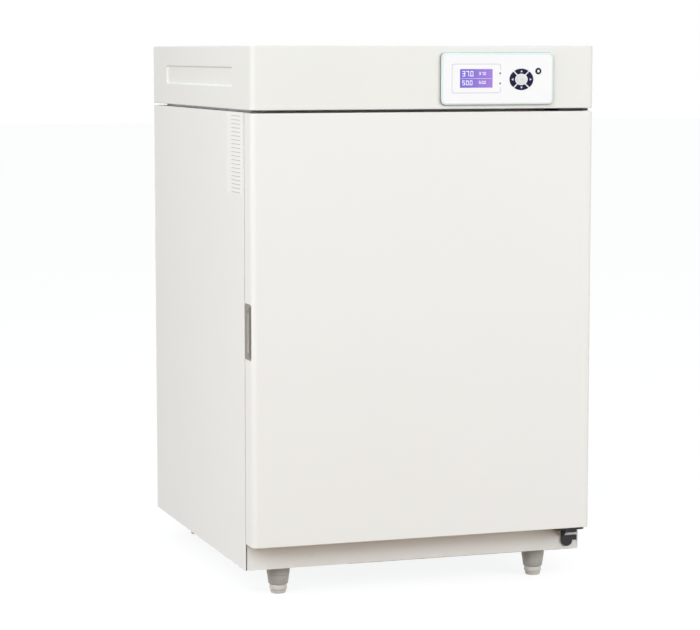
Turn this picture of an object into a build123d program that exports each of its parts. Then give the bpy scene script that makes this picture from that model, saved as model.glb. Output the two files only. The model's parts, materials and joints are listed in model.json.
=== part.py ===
from build123d import *
import math
import os

os.makedirs("parts", exist_ok=True)

# Whole incubator, in millimetres: X to the right, Y to the back, Z up, origin under its middle
width = 590
depth = 642
height = 900
foot_height = 48
head_height = 102.5
head_gap = 4
panel_proud = 6
spigot_reach = 22

# Sheet metal and shared clearances
sheet = 1.2
heavy_sheet = 2
return_width = 14
corner_radius = 9
edge_radius = 2.5
gap = 0.3
turn_gap = 0.05

# Outer door
door_thick = 42
door_gap = 4
kick_height = 45
door_top_gap = 0.8
door_return = 22
recess_depth = 14
recess_margin = 29
recess_rise = 10
recess_radius = 12
panel_wall = 1.5
door_gasket_width = 16

# Door hinges: the pin stands near the right front corner
pin_inset = 16
pin_back = 17
pin_radius = 4
pin_length = 14
bush_radius = 8
bush_length = 18
bush_flange = 1.1
hinge_plate = 3.2
tongue_drop = 1.4
tongue_left = 59
tongue_right = 4
tongue_front = 8
tongue_radius = 8
wall_left = 32
lobe_radius = 10
lobe_rise = 15.5
window_rise = 24
window_height = 4.5
web_thick = 3
web_drop = 18

# Recessed handle in the door's left side
handle_front = 9
handle_rear_wall = 4
handle_height = 91
handle_depth = 26
handle_wall = 2
grip_width = 12
grip_back = 8
grip_margin = 12
grip_radius = 5

# Chamber
side_wall = 95
floor_rise = 135
roof_drop = 110.5
rear_bay = 166
chamber_radius = 20
liner_flange = 25
mat_thick = 1.5
mat_gap = 0.25
mat_margin = 40
insulation_back = 50
insulation_drop = 58

# Front frame and kick panel
hem_width = 3
hem_depth = 8
seam = 0.4
kick_lap = 7

# Top deck
plinth_inset = 20
plinth_front = 24

# Glass door
glass_gasket_inset = 3
glass_gasket_width = 16
glass_gasket_thick = 3.5
glass_thick = 5
glass_radius = 6
barrel_radius = 5
barrel_out = 6.5
barrel_front = 7
glass_pin = 2.5
ear_thick = 4
barrel_height = 26
hinge_inset = 92
post_thick = 2.5
post_left = 13
post_right = 25
clamp_width = 22
clamp_thick = 2
pull_radius = 8
pull_reach = 7
pull_inset = 42

# Glass latch on the front frame
latch_out = 40
latch_boss = 7
latch_reach = 30
latch_width = 10
latch_thick = 3

# Air duct and fan behind it
duct_side = 60
duct_depth = 30
duct_low = 18
duct_high = 22
grille_inner = 20
grille_outer = 50
grille_count = 16
grille_slot = 5
outlet_count = 6
outlet_width = 30
outlet_height = 6
outlet_rise = 16
wheel_radius = 68
wheel_eye = 46
blade_root = 49
blade_bow = 0.36
wheel_deep = 17
wheel_plate = 1.5
blade_count = 9
blade_thick = 1.4
blade_lean = 28
hub_radius = 11
shaft_radius = 4
shaft_hole = 7
motor_radius = 32
motor_length = 58
motor_plate = 88
motor_boss = 12

# Shelves and their rack
upright_width = 15
upright_thick = 3
upright_front = 60
upright_back = 60
upright_foot = 12
notch_pitch = 65
notch_height = 12
notch_width = 5
rail_width = 15
rail_height = 12
rail_front = 45
rail_rear_gap = 40
shelf_levels = 3
shelf_first = 125
shelf_side_gap = 10
shelf_front = 19
shelf_rear_gap = 3
shelf_lip = 8
shelf_rows = 7
shelf_columns = 3
shelf_border = 24
shelf_bridge = 16

# Water pan
pan_side_gap = 35
pan_front = 35
pan_rear_gap = 40
pan_height = 38
pan_radius = 18
pan_rim = 6

# Chamber probes
probe_in = 35
probe_radius = 3
probe_length = 60
probe_boss = 8
probe_boss_thick = 6
gas_probe_radius = 12
gas_probe_length = 48
gas_probe_drop = 38
probe_lift = 32

# Cable port
port_in = 37
port_drop = 43
port_radius = 12.5
port_wall = 2.5
stopper_length = 34
stopper_flange = 18
stopper_cap = 8

# Rear panel
rear_margin = 6
louvre_count = 9
louvre_pitch = 14
louvre_height = 4
louvre_width = 180
louvre_rise = 92
head_louvre_rise = 28

# Gas line
gas_in = 85
gas_lift = 82
spigot_radius = 4
spigot_bore = 2.2
nut_width = 14
nut_thick = 5
thread_radius = 6
thread_length = 16
hose_radius = 4
filter_radius = 26
filter_thick = 12
filter_step = 120
valve_width = 26
valve_depth = 30
valve_height = 40
bracket_width = 13
coil_radius = 13
coil_height = 26
valve_step = 130
line_back = 46

# Feet
foot_in = 67.5
foot_back = 38
cup_top_radius = 20
cup_low_radius = 16
pad_height = 15
pad_radius = 14.5
stud_radius = 6
stud_length = 24

# Head pocket on each side
pocket_front = 110.5
pocket_rear = 97.5
pocket_low = 36.5
pocket_drop = 34.5
pocket_depth = 3
pocket_taper = 30

# Control panel on the head
panel_in = 74.4
panel_width = 197
panel_height = 85
panel_drop = 2.65
panel_radius = 8
panel_edge = 3.5
overlay_thick = 0.8
key_proud = 0.8
key_length = 4.5
key_gap = 0.3
lcd_shift = -37.7
lcd_lift = 0.85
lcd_width = 56.8
lcd_height = 30.3
lcd_thick = 4
lamp_shift = 3.9
lamp_spread = 8.2
lamp_radius = 1.6
ring_shift = 41.3
ring_drop = 1
ring_half_width = 20.7
ring_half_height = 17.3
ring_inner = 0.55
ring_slot = 2.4
centre_key = 0.42
round_key_shift = 71.1
round_key_lift = 12.4
round_key_radius = 5.2

# Power entry on the head's rear panel
entry_in = 105
entry_width = 30
entry_height = 58
entry_flange = 5
entry_proud = 2.5
entry_deep = 24
socket_width = 24.4
socket_height = 16.6
socket_deep = 17
socket_drop = 14
pin_wide = 2
pin_tall = 4
pin_long = 12
pin_pitch = 7
rocker_rise = 17
rocker_width = 20
rocker_height = 13
rocker_deep = 12
rocker_tilt = 8
rocker_dish = 1.2

# Head electronics
board_width = 170
board_depth = 120
board_thick = 1.6
board_lift = 8
supply_width = 160
supply_depth = 95
supply_height = 45
electronics_back = 330

# Places that follow from the sizes
half = width / 2
front = panel_proud - (panel_proud + depth + spigot_reach) / 2
back = front + depth
face = front + door_thick + door_gap
body_top = height - head_height - head_gap
head_floor = height - head_height
shell_top = body_top - sheet
door_back = front + door_thick
door_bottom = foot_height + kick_height
door_top = body_top - door_top_gap
door_middle = (door_bottom + door_top) / 2
chamber_half = half - side_wall
chamber_floor = foot_height + floor_rise
chamber_top = body_top - roof_drop
chamber_middle = (chamber_floor + chamber_top) / 2
chamber_back = back - rear_bay
mouth_half = chamber_half + liner_flange
mouth_low = chamber_floor - liner_flange
mouth_high = chamber_top + liner_flange
base_top = foot_height + sheet + heavy_sheet
pin_x = half - pin_inset
pin_y = front + pin_back
recess_half = mouth_half + recess_margin
recess_low = mouth_low - recess_rise
recess_high = mouth_high + recess_rise
recess_floor = door_back - recess_depth
duct_front = chamber_back - duct_depth
wheel_front = duct_front + sheet + (duct_depth - sheet - wheel_deep) / 2
insulation_end = chamber_back + insulation_back
shelf_pitch = (chamber_top - chamber_floor - shelf_first) / shelf_levels
shelf_half = chamber_half - shelf_side_gap
shelf_front_edge = face + shelf_front
shelf_back_edge = duct_front - shelf_rear_gap
duct_half = chamber_half - duct_side
fan_height = chamber_middle
probe_x = probe_in - chamber_half
top_level = chamber_top - shelf_pitch
port_x = chamber_half - port_in
port_z = chamber_top - port_drop
gas_x = gas_in - half
gas_z = foot_height + gas_lift
filter_z = gas_z + filter_step
valve_z = filter_z + valve_step
head_middle = head_floor + head_height / 2
panel_right = half - panel_in
panel_left = panel_right - panel_width
panel_x = panel_right - panel_width / 2
panel_z = head_middle - panel_drop
panel_low = panel_z - panel_height / 2
panel_high = panel_z + panel_height / 2
entry_x = half - entry_in
entry_z = head_middle
handle_back = door_thick - handle_rear_wall
handle_bottom = door_middle - handle_height / 2
handle_top = door_middle + handle_height / 2
panel_face = front - panel_proud + key_proud
glass_back = face - glass_gasket_thick - gap / 2
glass_front = glass_back - glass_thick


def block(x_from, x_to, y_from, y_to, z_from, z_to):
    box = Box(x_to - x_from, y_to - y_from, z_to - z_from)
    return Pos((x_from + x_to) / 2, (y_from + y_to) / 2, (z_from + z_to) / 2) * box


def post(x, y, z_from, z_to, radius):
    return Pos(x, y, (z_from + z_to) / 2) * Cylinder(radius, z_to - z_from)


def bar(x, z, y_from, y_to, radius):
    return Pos(x, (y_from + y_to) / 2, z) * Rot(90, 0, 0) * Cylinder(radius, y_to - y_from)


def facing(sketch, x, z, y_from, y_to):
    # A flat outline drawn as seen from the front, made solid from one depth to another
    return Pos(x, y_to, z) * Rot(90, 0, 0) * extrude(sketch, y_to - y_from)


def plate(x_from, x_to, z_from, z_to, y_from, y_to, radius):
    outline = RectangleRounded(x_to - x_from, z_to - z_from, radius)
    return facing(outline, (x_from + x_to) / 2, (z_from + z_to) / 2, y_from, y_to)


def upright_box(x_from, x_to, y_from, y_to, z_from, z_to, radius):
    box = block(x_from, x_to, y_from, y_to, z_from, z_to)
    return fillet(box.edges().filter_by(Axis.Z), radius)


def save(shape, node):
    export_step(shape, f"parts/{node}.step")


# Side panels: folded trays with a thick front hem
def side_panel(outer):
    inner = outer - math.copysign(sheet, outer)
    edge = outer - math.copysign(return_width, outer)
    hem = outer - math.copysign(hem_width, outer)
    low_x, high_x = sorted((outer, edge))
    tray = block(low_x, high_x, face, back - sheet, foot_height, shell_top)
    tray = fillet(tray.edges().filter_by(Axis.Z).sort_by(Axis.Y)[:2], edge_radius / 2)
    low_in, high_in = sorted((inner, 0))
    hollow = block(low_in, high_in, face - sheet, back - 2 * sheet,
                   foot_height + sheet, shell_top - sheet)
    low_hem, high_hem = sorted((outer, hem))
    hem_bar = block(low_hem, high_hem, face, face + hem_depth, foot_height, shell_top)
    hem_bar = fillet(hem_bar.edges().filter_by(Axis.Z).group_by(Axis.Y)[0], edge_radius / 2)
    kick_room = block(*sorted((hem, 0)), face - sheet, face + hem_depth, foot_height - sheet, height)
    return tray - hollow - kick_room + hem_bar


save(side_panel(-half), "side_panel_left")
save(side_panel(half), "side_panel_right")

# Rear panel with a bank of louvres, a port hole and the gas bulkhead hole
rear = block(-half + rear_margin, half - rear_margin, back - sheet, back,
             foot_height + rear_margin, shell_top - rear_margin)
louvre = block(-louvre_width / 2, louvre_width / 2, back - heavy_sheet, back + sheet, 0, louvre_height)
for row in range(louvre_count):
    rear -= Pos(0, 0, foot_height + louvre_rise + row * louvre_pitch) * louvre
rear -= bar(port_x, port_z, back - heavy_sheet, back + sheet, port_radius + port_wall + gap)
rear -= bar(gas_x, gas_z, back - heavy_sheet, back + sheet, thread_radius + gap)
save(rear, "rear_panel")

# Base pan on the side panels' lower returns
base_half = half - sheet - gap
base = block(-base_half, base_half, face + hem_depth + gap, back - 2 * sheet - gap,
             foot_height + sheet, base_top)
save(base, "base_pan")

# Top deck with the raised plinth that carries the head
deck = block(-half, half, face, back, shell_top, body_top)
plinth = block(-half + plinth_inset, half - plinth_inset, face + plinth_front, back - plinth_inset,
               body_top, head_floor)
plinth_hollow = block(-half + plinth_inset + sheet, half - plinth_inset - sheet, face + plinth_front + sheet,
                      back - plinth_inset - sheet, shell_top - sheet, head_floor - sheet)
save(deck + plinth - plinth_hollow, "top_deck")

# Front frame round the chamber mouth
frame_half = half - hem_width - seam
frame_low = door_bottom + kick_lap + seam
frame_top = shell_top
collar = block(-frame_half, frame_half, face, face + sheet, frame_low, frame_top)
collar_return = block(-frame_half, frame_half, face, face + return_width, frame_low, frame_low + sheet)
mouth = plate(-mouth_half - gap, mouth_half + gap, mouth_low - gap, mouth_high + gap,
              face - sheet, face + return_width, recess_radius)
save(collar + collar_return - mouth, "front_frame")

# Kick panel under the door
kick = block(-frame_half, frame_half, face, face + return_width, base_top + gap, door_bottom + kick_lap)
kick_skirt = block(-frame_half, frame_half, face, face + sheet, foot_height, base_top + gap)
kick_hollow = block(-half, half, face + sheet, face + 2 * return_width, base_top - sheet,
                    door_bottom + kick_lap - sheet)
save(kick + kick_skirt - kick_hollow, "kick_panel")


# Stainless liner: one drawn box with round corners and a flat mouth flange
def rounded_bin(x_half, y_from, y_to, z_from, z_to, radius):
    bin_box = block(-x_half, x_half, y_from, y_to, z_from, z_to)
    return fillet(bin_box.edges().filter_by(Axis.Y), radius)


liner_outer = rounded_bin(chamber_half + sheet, face, chamber_back + sheet,
                          chamber_floor - sheet, chamber_top + sheet, chamber_radius)
liner_inner = rounded_bin(chamber_half, face - chamber_radius, chamber_back,
                          chamber_floor, chamber_top, chamber_radius)
flange = plate(-mouth_half, mouth_half, mouth_low, mouth_high, face, face + sheet, recess_radius)
liner = liner_outer + flange - liner_inner
liner -= bar(0, fan_height, chamber_back - sheet, chamber_back + 2 * sheet, shaft_hole)
liner -= bar(port_x, port_z, chamber_back - sheet, chamber_back + 2 * sheet, port_radius + port_wall + gap)
save(liner, "chamber_liner")

# Heating mats on the liner's four long sides
mat_out = chamber_half + sheet + mat_gap
mats = block(mat_out, mat_out + mat_thick, face + mat_margin, chamber_back - mat_margin,
             chamber_floor + mat_margin, chamber_top - mat_margin)
mats += block(-mat_out - mat_thick, -mat_out, face + mat_margin, chamber_back - mat_margin,
              chamber_floor + mat_margin, chamber_top - mat_margin)
mat_low = chamber_floor - sheet - mat_gap
mats += block(-chamber_half + mat_margin, chamber_half - mat_margin, face + mat_margin,
              chamber_back - mat_margin, mat_low - mat_thick, mat_low)
mat_high = chamber_top + sheet + mat_gap
mats += block(-chamber_half + mat_margin, chamber_half - mat_margin, face + mat_margin,
              chamber_back - mat_margin, mat_high, mat_high + mat_thick)
save(mats, "heating_mats")

# Foam round the liner
foam_room = sheet + mat_thick + 2 * mat_gap
foam = block(-half + hem_width + gap, half - hem_width - gap, face + return_width + gap, insulation_end,
             chamber_floor - insulation_drop, shell_top - sheet - gap)
foam -= block(-chamber_half - foam_room, chamber_half + foam_room, face - sheet, chamber_back + foam_room,
              chamber_floor - foam_room, chamber_top + foam_room)
foam -= bar(0, fan_height, chamber_back, insulation_end + sheet, shaft_hole)
foam -= bar(port_x, port_z, chamber_back, insulation_end + sheet, port_radius + port_wall + gap)
save(foam, "cabinet_insulation")


def ring(x_half, z_from, z_to, y_from, y_to, band, radius):
    outer = plate(-x_half, x_half, z_from, z_to, y_from, y_to, radius)
    inner = plate(-x_half + band, x_half - band, z_from + band, z_to - band,
                  y_from - sheet, y_to + sheet, max(radius - band, edge_radius))
    return outer - inner


# Gasket that the glass door closes on
seal_out = chamber_half + glass_gasket_inset + glass_gasket_width
save(ring(seal_out, chamber_floor - glass_gasket_inset - glass_gasket_width,
          chamber_top + glass_gasket_inset + glass_gasket_width,
          face - glass_gasket_thick, face, glass_gasket_width, chamber_radius), "glass_gasket")

# Glass door with pinned hinges on the right
hinge_x = mouth_half + barrel_out
hinge_y = face - barrel_front
pane = plate(-mouth_half, mouth_half, mouth_low, mouth_high, glass_front, glass_back, glass_radius)
save(pane, "glass_pane")

hinge_heights = (mouth_low + hinge_inset, mouth_high - hinge_inset - barrel_height)
posts = None
fittings = facing(Circle(pull_radius), -mouth_half + pull_inset, chamber_middle,
                  glass_front - pull_reach, glass_front)
for low in hinge_heights:
    foot = block(hinge_x + post_left / 2, hinge_x + post_right, face - post_thick, face,
                 low - ear_thick, low + barrel_height)
    ear = post(hinge_x, hinge_y, low - ear_thick, low, barrel_radius)
    ear += block(hinge_x, hinge_x + post_left, hinge_y - barrel_radius / 2, face - gap, low - ear_thick, low)
    knuckle = foot + ear + post(hinge_x, hinge_y, low - ear_thick, low + barrel_height - sheet, glass_pin)
    posts = knuckle if posts is None else posts + knuckle
    sleeve = post(hinge_x, hinge_y, low + gap, low + barrel_height, barrel_radius)
    leaf = block(mouth_half - clamp_width, hinge_x, glass_front - clamp_thick, glass_front,
                 low + gap, low + barrel_height)
    bore = post(hinge_x, hinge_y, low - sheet, low + barrel_height - sheet / 2, glass_pin + turn_gap)
    fittings += sleeve + leaf - bore
save(posts, "glass_hinge_posts")
save(fittings, "glass_fittings")

# Turn latch beside the glass
latch_x = -mouth_half - latch_out + clamp_width
latch = bar(latch_x, chamber_middle, glass_front - gap - latch_thick, face, latch_boss)
arm_shape = SlotCenterToCenter(latch_reach, latch_width)
arm = facing(Pos(-latch_reach / 2, 0) * arm_shape, 0, 0, 0, latch_thick)
latch += Pos(latch_x, glass_front - gap - latch_thick, chamber_middle) * Rot(0, -90, 0) * arm
save(latch, "glass_latch")

# Rear air duct with a round intake grille and outlet slots
duct_bottom = chamber_floor + duct_low
duct_top = chamber_top - duct_high
duct = block(-duct_half, duct_half, duct_front, chamber_back, duct_bottom, duct_top)
duct_hollow = block(-duct_half + sheet, duct_half - sheet, duct_front + sheet, chamber_back + sheet,
                    duct_bottom + sheet, duct_top - sheet)
duct -= duct_hollow
slot_length = grille_outer - grille_inner
slot = Pos((grille_inner + grille_outer) / 2, 0) * Rectangle(slot_length, grille_slot)
for turn in range(grille_count):
    petal = Rot(0, 0, turn * 360 / grille_count) * slot
    duct -= facing(petal, 0, fan_height, duct_front - sheet, duct_front + 2 * sheet)
outlet_pitch = 2 * duct_half / outlet_count
for step in range(outlet_count):
    outlet_x = (step - (outlet_count - 1) / 2) * outlet_pitch
    for outlet_z in (duct_bottom + outlet_rise, duct_top - outlet_rise):
        duct -= facing(Rectangle(outlet_width, outlet_height), outlet_x, outlet_z,
                       duct_front - sheet, duct_front + 2 * sheet)
save(duct, "duct_panel")

# Fan wheel: back plate, hub and backward-curved blades between the plate and an inlet ring
wheel_back = wheel_front + wheel_deep


def blade_face():
    tip_angle = math.radians(blade_lean)
    root = (blade_root, 0)
    tip_radius = wheel_radius - blade_thick
    tip = (tip_radius * math.cos(tip_angle), tip_radius * math.sin(tip_angle))
    middle_radius = (blade_root + tip_radius) / 2
    middle_angle = tip_angle * blade_bow
    middle = (middle_radius * math.cos(middle_angle), middle_radius * math.sin(middle_angle))
    spine = ThreePointArc(root, middle, tip)
    return trace(spine, blade_thick)


blade = facing(blade_face(), 0, 0, 0, wheel_deep - wheel_plate)
wheel = bar(0, fan_height, wheel_back - wheel_plate, wheel_back, wheel_radius)
wheel += bar(0, fan_height, wheel_front + wheel_plate, wheel_back, hub_radius)
inlet_ring = bar(0, fan_height, wheel_front, wheel_front + wheel_plate, wheel_radius)
inlet_ring -= bar(0, fan_height, wheel_front - sheet, wheel_back, wheel_eye)
wheel += inlet_ring
for turn in range(blade_count):
    wheel += Pos(0, wheel_front, fan_height) * Rot(0, turn * 360 / blade_count, 0) * blade
wheel -= bar(0, fan_height, wheel_front - sheet, wheel_back + sheet, shaft_radius)
save(wheel, "fan_wheel")

# Motor behind the foam, with the shaft that reaches the wheel
motor_front = insulation_end + gap
shaft_end = motor_front + motor_boss
save(bar(0, fan_height, wheel_front + wheel_plate, shaft_end, shaft_radius), "fan_shaft")
motor = facing(Rectangle(motor_plate, motor_plate), 0, fan_height,
               motor_front, motor_front + heavy_sheet)
motor += bar(0, fan_height, motor_front, motor_front + motor_length, motor_radius)
motor -= bar(0, fan_height, motor_front - sheet, shaft_end + gap, shaft_radius + turn_gap)
save(motor, "fan_motor")

# Shelf rack: four notched uprights and three pairs of angle rails
rack = None
upright_low = chamber_floor + chamber_radius + upright_foot
upright_high = chamber_top - chamber_radius - upright_foot
notch_count = int((upright_high - upright_low) / notch_pitch)
for side in (-1, 1):
    for along in (face + upright_front, duct_front - upright_back):
        strip = block(chamber_half - upright_thick, chamber_half, along, along + upright_width,
                      upright_low, upright_high)
        for step in range(notch_count):
            notch_z = upright_low + (step + 0.5) * notch_pitch
            strip -= block(chamber_half - 2 * upright_thick, chamber_half - upright_thick / 2,
                           along + notch_width, along + 2 * notch_width,
                           notch_z, notch_z + notch_height)
        strip = strip if side > 0 else mirror(strip, Plane.YZ)
        rack = strip if rack is None else rack + strip
    for level in range(shelf_levels):
        rail_z = chamber_floor + shelf_first + level * shelf_pitch
        rail_out = chamber_half - upright_thick
        rail = block(rail_out - rail_width, rail_out, face + rail_front, duct_front - rail_rear_gap,
                     rail_z - rail_height, rail_z)
        rail -= block(rail_out - 2 * rail_width, rail_out - sheet, face, chamber_back,
                      rail_z - 2 * rail_height, rail_z - sheet)
        rack += rail if side > 0 else mirror(rail, Plane.YZ)
save(rack, "shelf_rack")


# Slotted shelves with folded edges
def shelf(level):
    low = chamber_floor + shelf_first + level * shelf_pitch + gap
    sheet_top = low + sheet
    tray = block(-shelf_half, shelf_half, shelf_front_edge, shelf_back_edge, low, low + shelf_lip)
    tray -= block(-shelf_half + sheet, shelf_half - sheet, face, shelf_back_edge - sheet,
                  sheet_top, low + 2 * shelf_lip)
    pitch_x = 2 * (shelf_half - shelf_border) / shelf_columns
    pitch_y = (shelf_back_edge - shelf_front_edge - 2 * shelf_border) / shelf_rows
    for column in range(shelf_columns):
        for row in range(shelf_rows):
            slot_x = -shelf_half + shelf_border + (column + 0.5) * pitch_x
            slot_y = shelf_front_edge + shelf_border + (row + 0.5) * pitch_y
            tray -= block(slot_x - (pitch_x - shelf_bridge) / 2, slot_x + (pitch_x - shelf_bridge) / 2,
                          slot_y - (pitch_y - shelf_bridge) / 2, slot_y + (pitch_y - shelf_bridge) / 2,
                          low - sheet, sheet_top + sheet)
    return tray


for level in range(shelf_levels):
    save(shelf(level), f"shelf_{level + 1}")

# Water pan on the chamber floor
pan_low = chamber_floor + gap
pan_half = chamber_half - pan_side_gap
pan_front_edge = face + pan_front
pan_back_edge = duct_front - pan_rear_gap
pan = upright_box(-pan_half, pan_half, pan_front_edge, pan_back_edge, pan_low, pan_low + pan_height,
                  pan_radius)
rim = upright_box(-pan_half - pan_rim, pan_half + pan_rim, pan_front_edge - pan_rim, pan_back_edge + pan_rim,
                  pan_low + pan_height - sheet, pan_low + pan_height, pan_radius + pan_rim)
pan_hollow = upright_box(-pan_half + sheet, pan_half - sheet, pan_front_edge + sheet, pan_back_edge - sheet,
                         pan_low + sheet, pan_low + 2 * pan_height, pan_radius - sheet)
save(pan + rim - pan_hollow, "water_pan")

# Temperature probe and gas probe on the chamber's back wall
probes = bar(probe_x, top_level + probe_lift, chamber_back - probe_length, chamber_back, probe_radius)
probes += bar(probe_x, top_level + probe_lift, chamber_back - probe_boss_thick, chamber_back, probe_boss)
gas_probe = bar(probe_x, top_level - gas_probe_drop, chamber_back - gas_probe_length, chamber_back,
                gas_probe_radius)
save(probes + gas_probe, "chamber_probes")

# Cable port: a sleeve through the foam to the rear panel and a stopper
sleeve = bar(port_x, port_z, chamber_back, back, port_radius + port_wall)
sleeve -= bar(port_x, port_z, chamber_back - sheet, back + sheet, port_radius)
save(sleeve, "port_sleeve")
plug = bar(port_x, port_z, back - stopper_length, back, port_radius - gap)
cap = bar(port_x, port_z, back, back + stopper_cap, stopper_flange)
save(plug + cap, "port_stopper")

# Gas line: bulkhead spigot, filter, solenoid valve and the hose between them
line_y = back - line_back
inlet = bar(gas_x, gas_z, back - thread_length, back + nut_thick, thread_radius)
nut = facing(RegularPolygon(nut_width / 2, 6, major_radius=False), gas_x, gas_z, back, back + nut_thick)
spigot = bar(gas_x, gas_z, back + nut_thick, back + spigot_reach, spigot_radius)
inlet = inlet + nut + spigot
inlet -= bar(gas_x, gas_z, back - line_back, back + 2 * spigot_reach, spigot_bore)
save(inlet, "gas_inlet")
gas_filter = bar(gas_x, filter_z, line_y - filter_thick / 2, line_y + filter_thick / 2, filter_radius)
gas_filter += post(gas_x, line_y, filter_z - filter_radius - nut_thick,
                   filter_z + filter_radius + nut_thick, hose_radius)
save(gas_filter, "gas_filter")
valve = upright_box(gas_x - valve_width / 2, gas_x + valve_width / 2, line_y - valve_depth / 2,
                    line_y + valve_depth / 2, valve_z, valve_z + valve_height, edge_radius)
valve += post(gas_x, line_y, valve_z + valve_height, valve_z + valve_height + coil_height, coil_radius)
valve += block(gas_x - bracket_width / 2, gas_x + bracket_width / 2, insulation_end, line_y,
               valve_z + nut_thick, valve_z + valve_height - nut_thick)
save(valve, "solenoid_valve")
hose = bar(gas_x, gas_z, line_y - hose_radius, back - thread_length, hose_radius)
hose += post(gas_x, line_y, gas_z, filter_z - filter_radius - nut_thick, hose_radius)
hose += post(gas_x, line_y, filter_z + filter_radius + nut_thick, valve_z, hose_radius)
save(hose, "gas_hose")

# Leg cups under the base pan, and the levelling feet that screw into them
cups = None
foot_places = []
for side in (-1, 1):
    for along in (face + foot_back, back - foot_back):
        foot_places.append((side * (half - foot_in), along))
for x, y in foot_places:
    cup = Pos(x, y, pad_height) * Cone(cup_low_radius, cup_top_radius, foot_height + sheet - pad_height,
                                       align=(Align.CENTER, Align.CENTER, Align.MIN))
    cup -= post(x, y, pad_height - sheet, pad_height + stud_length + edge_radius, stud_radius + turn_gap)
    cups = cup if cups is None else cups + cup
save(cups, "leg_cups")
for number, (x, y) in enumerate(foot_places):
    pad = post(x, y, 0, pad_height, pad_radius)
    save(pad + post(x, y, pad_height, pad_height + stud_length, stud_radius), f"foot_{number + 1}")


# Outer door skin: folded front and sides with a return round the back
def door_form(inset):
    form = block(-half + inset, half - inset, front + inset, door_back - inset,
                 door_bottom + inset, door_top - inset)
    form = fillet(form.edges().filter_by(Axis.Z).group_by(Axis.Y)[0], corner_radius - inset)
    return fillet(form.edges().filter_by(Axis.Z).group_by(Axis.Y)[-1], edge_radius - inset)


opening_half = half - door_return
opening_low = door_bottom + door_return
opening_high = door_top - door_return
skin = door_form(0) - door_form(sheet)
skin -= plate(-opening_half, opening_half, opening_low, opening_high, door_back - 2 * sheet,
              door_back + sheet, recess_radius)
bush_holes = post(pin_x, pin_y, door_bottom - sheet, door_bottom + bush_length, bush_radius)
bush_holes += post(pin_x, pin_y, door_top - bush_length, door_top + sheet, bush_radius)
skin -= bush_holes
handle_hole = block(-half - sheet, -half + handle_depth, front + handle_front, front + handle_back,
                    handle_bottom, handle_top)
skin -= handle_hole
save(skin, "door_skin")

# Door inner panel: a drawn recess that clears the glass door
def recess(grow, y_from, y_to):
    return plate(-recess_half - grow, recess_half + grow, recess_low - grow, recess_high + grow,
                 y_from, y_to, recess_radius + grow)


inner_panel = plate(-opening_half + gap, opening_half - gap, opening_low + gap, opening_high - gap,
                    door_back - panel_wall, door_back, recess_radius)
inner_panel += recess(panel_wall, recess_floor - panel_wall, door_back)
inner_panel -= recess(0, recess_floor, door_back + sheet)
save(inner_panel, "door_liner")

# Door foam
foam_inset = sheet + corner_radius / 2
door_foam = block(-half + foam_inset, half - foam_inset, front + sheet + gap, door_back - panel_wall - gap,
                  door_bottom + sheet + gap, door_top - sheet - gap)
door_foam = chamfer(door_foam.edges().filter_by(Axis.Z).group_by(Axis.Y)[0], corner_radius / 2)
door_foam -= recess(panel_wall + gap, recess_floor - panel_wall - gap, door_back)
door_foam -= bush_holes
door_foam -= block(-half, -half + handle_depth + gap, front + handle_front - gap,
                   front + handle_back + gap, handle_bottom - gap, handle_top + gap)
save(door_foam, "door_insulation")

# Door gasket
gasket_out = recess_half + glass_gasket_inset + door_gasket_width
gasket_low = recess_low - glass_gasket_inset - door_gasket_width
gasket_high = recess_high + glass_gasket_inset + door_gasket_width
save(ring(gasket_out, gasket_low, gasket_high, door_back, face - gap, door_gasket_width,
          corner_radius + door_gasket_width), "door_gasket")

# Handle: a cup in the door's side with a grip lip that hides the fingers' pocket
handle = block(-half, -half + handle_depth, front + handle_front + gap / 2, front + handle_back - gap / 2,
               handle_bottom + gap / 2, handle_top - gap / 2)
pocket = block(-half + heavy_sheet, -half + handle_depth - handle_wall, front + handle_front + handle_wall,
               front + handle_back - grip_back, handle_bottom + grip_margin, handle_top - grip_margin)
pocket = fillet(pocket.edges().filter_by(Axis.X), grip_radius)
mouth_cut = block(-half - sheet, -half + handle_depth / 2, front + handle_back - grip_back - grip_width,
                  front + handle_back - grip_back, handle_bottom + grip_margin, handle_top - grip_margin)
mouth_cut = fillet(mouth_cut.edges().filter_by(Axis.X), grip_radius)
save(handle - pocket - mouth_cut, "handle_cup")

# Hinge bushes in the door's top and bottom edges
bushes = post(pin_x, pin_y, door_bottom - bush_flange, door_bottom + bush_length, bush_radius)
bushes -= post(pin_x, pin_y, door_bottom - 2 * bush_flange, door_bottom + pin_length + gap,
               pin_radius + turn_gap)
upper_bush = post(pin_x, pin_y, door_top - bush_length, door_top, bush_radius)
upper_bush -= post(pin_x, pin_y, door_top - pin_length - gap, door_top + sheet, pin_radius + turn_gap)
save(bushes + upper_bush, "door_bushes")


# Lower hinge bracket: tongue under the door, wall plate with a window and a round foot, side web
tongue_top = door_bottom - tongue_drop
tongue_low = tongue_top - hinge_plate
tongue_x = half - tongue_left
tongue_end = half - tongue_right


def tongue(z_from, z_to, y_to):
    flat = upright_box(tongue_x, tongue_end, front + tongue_front, y_to + tongue_radius, z_from, z_to,
                       tongue_radius)
    return flat - block(-half, half, y_to, back, z_from - sheet, z_to + sheet)


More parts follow.
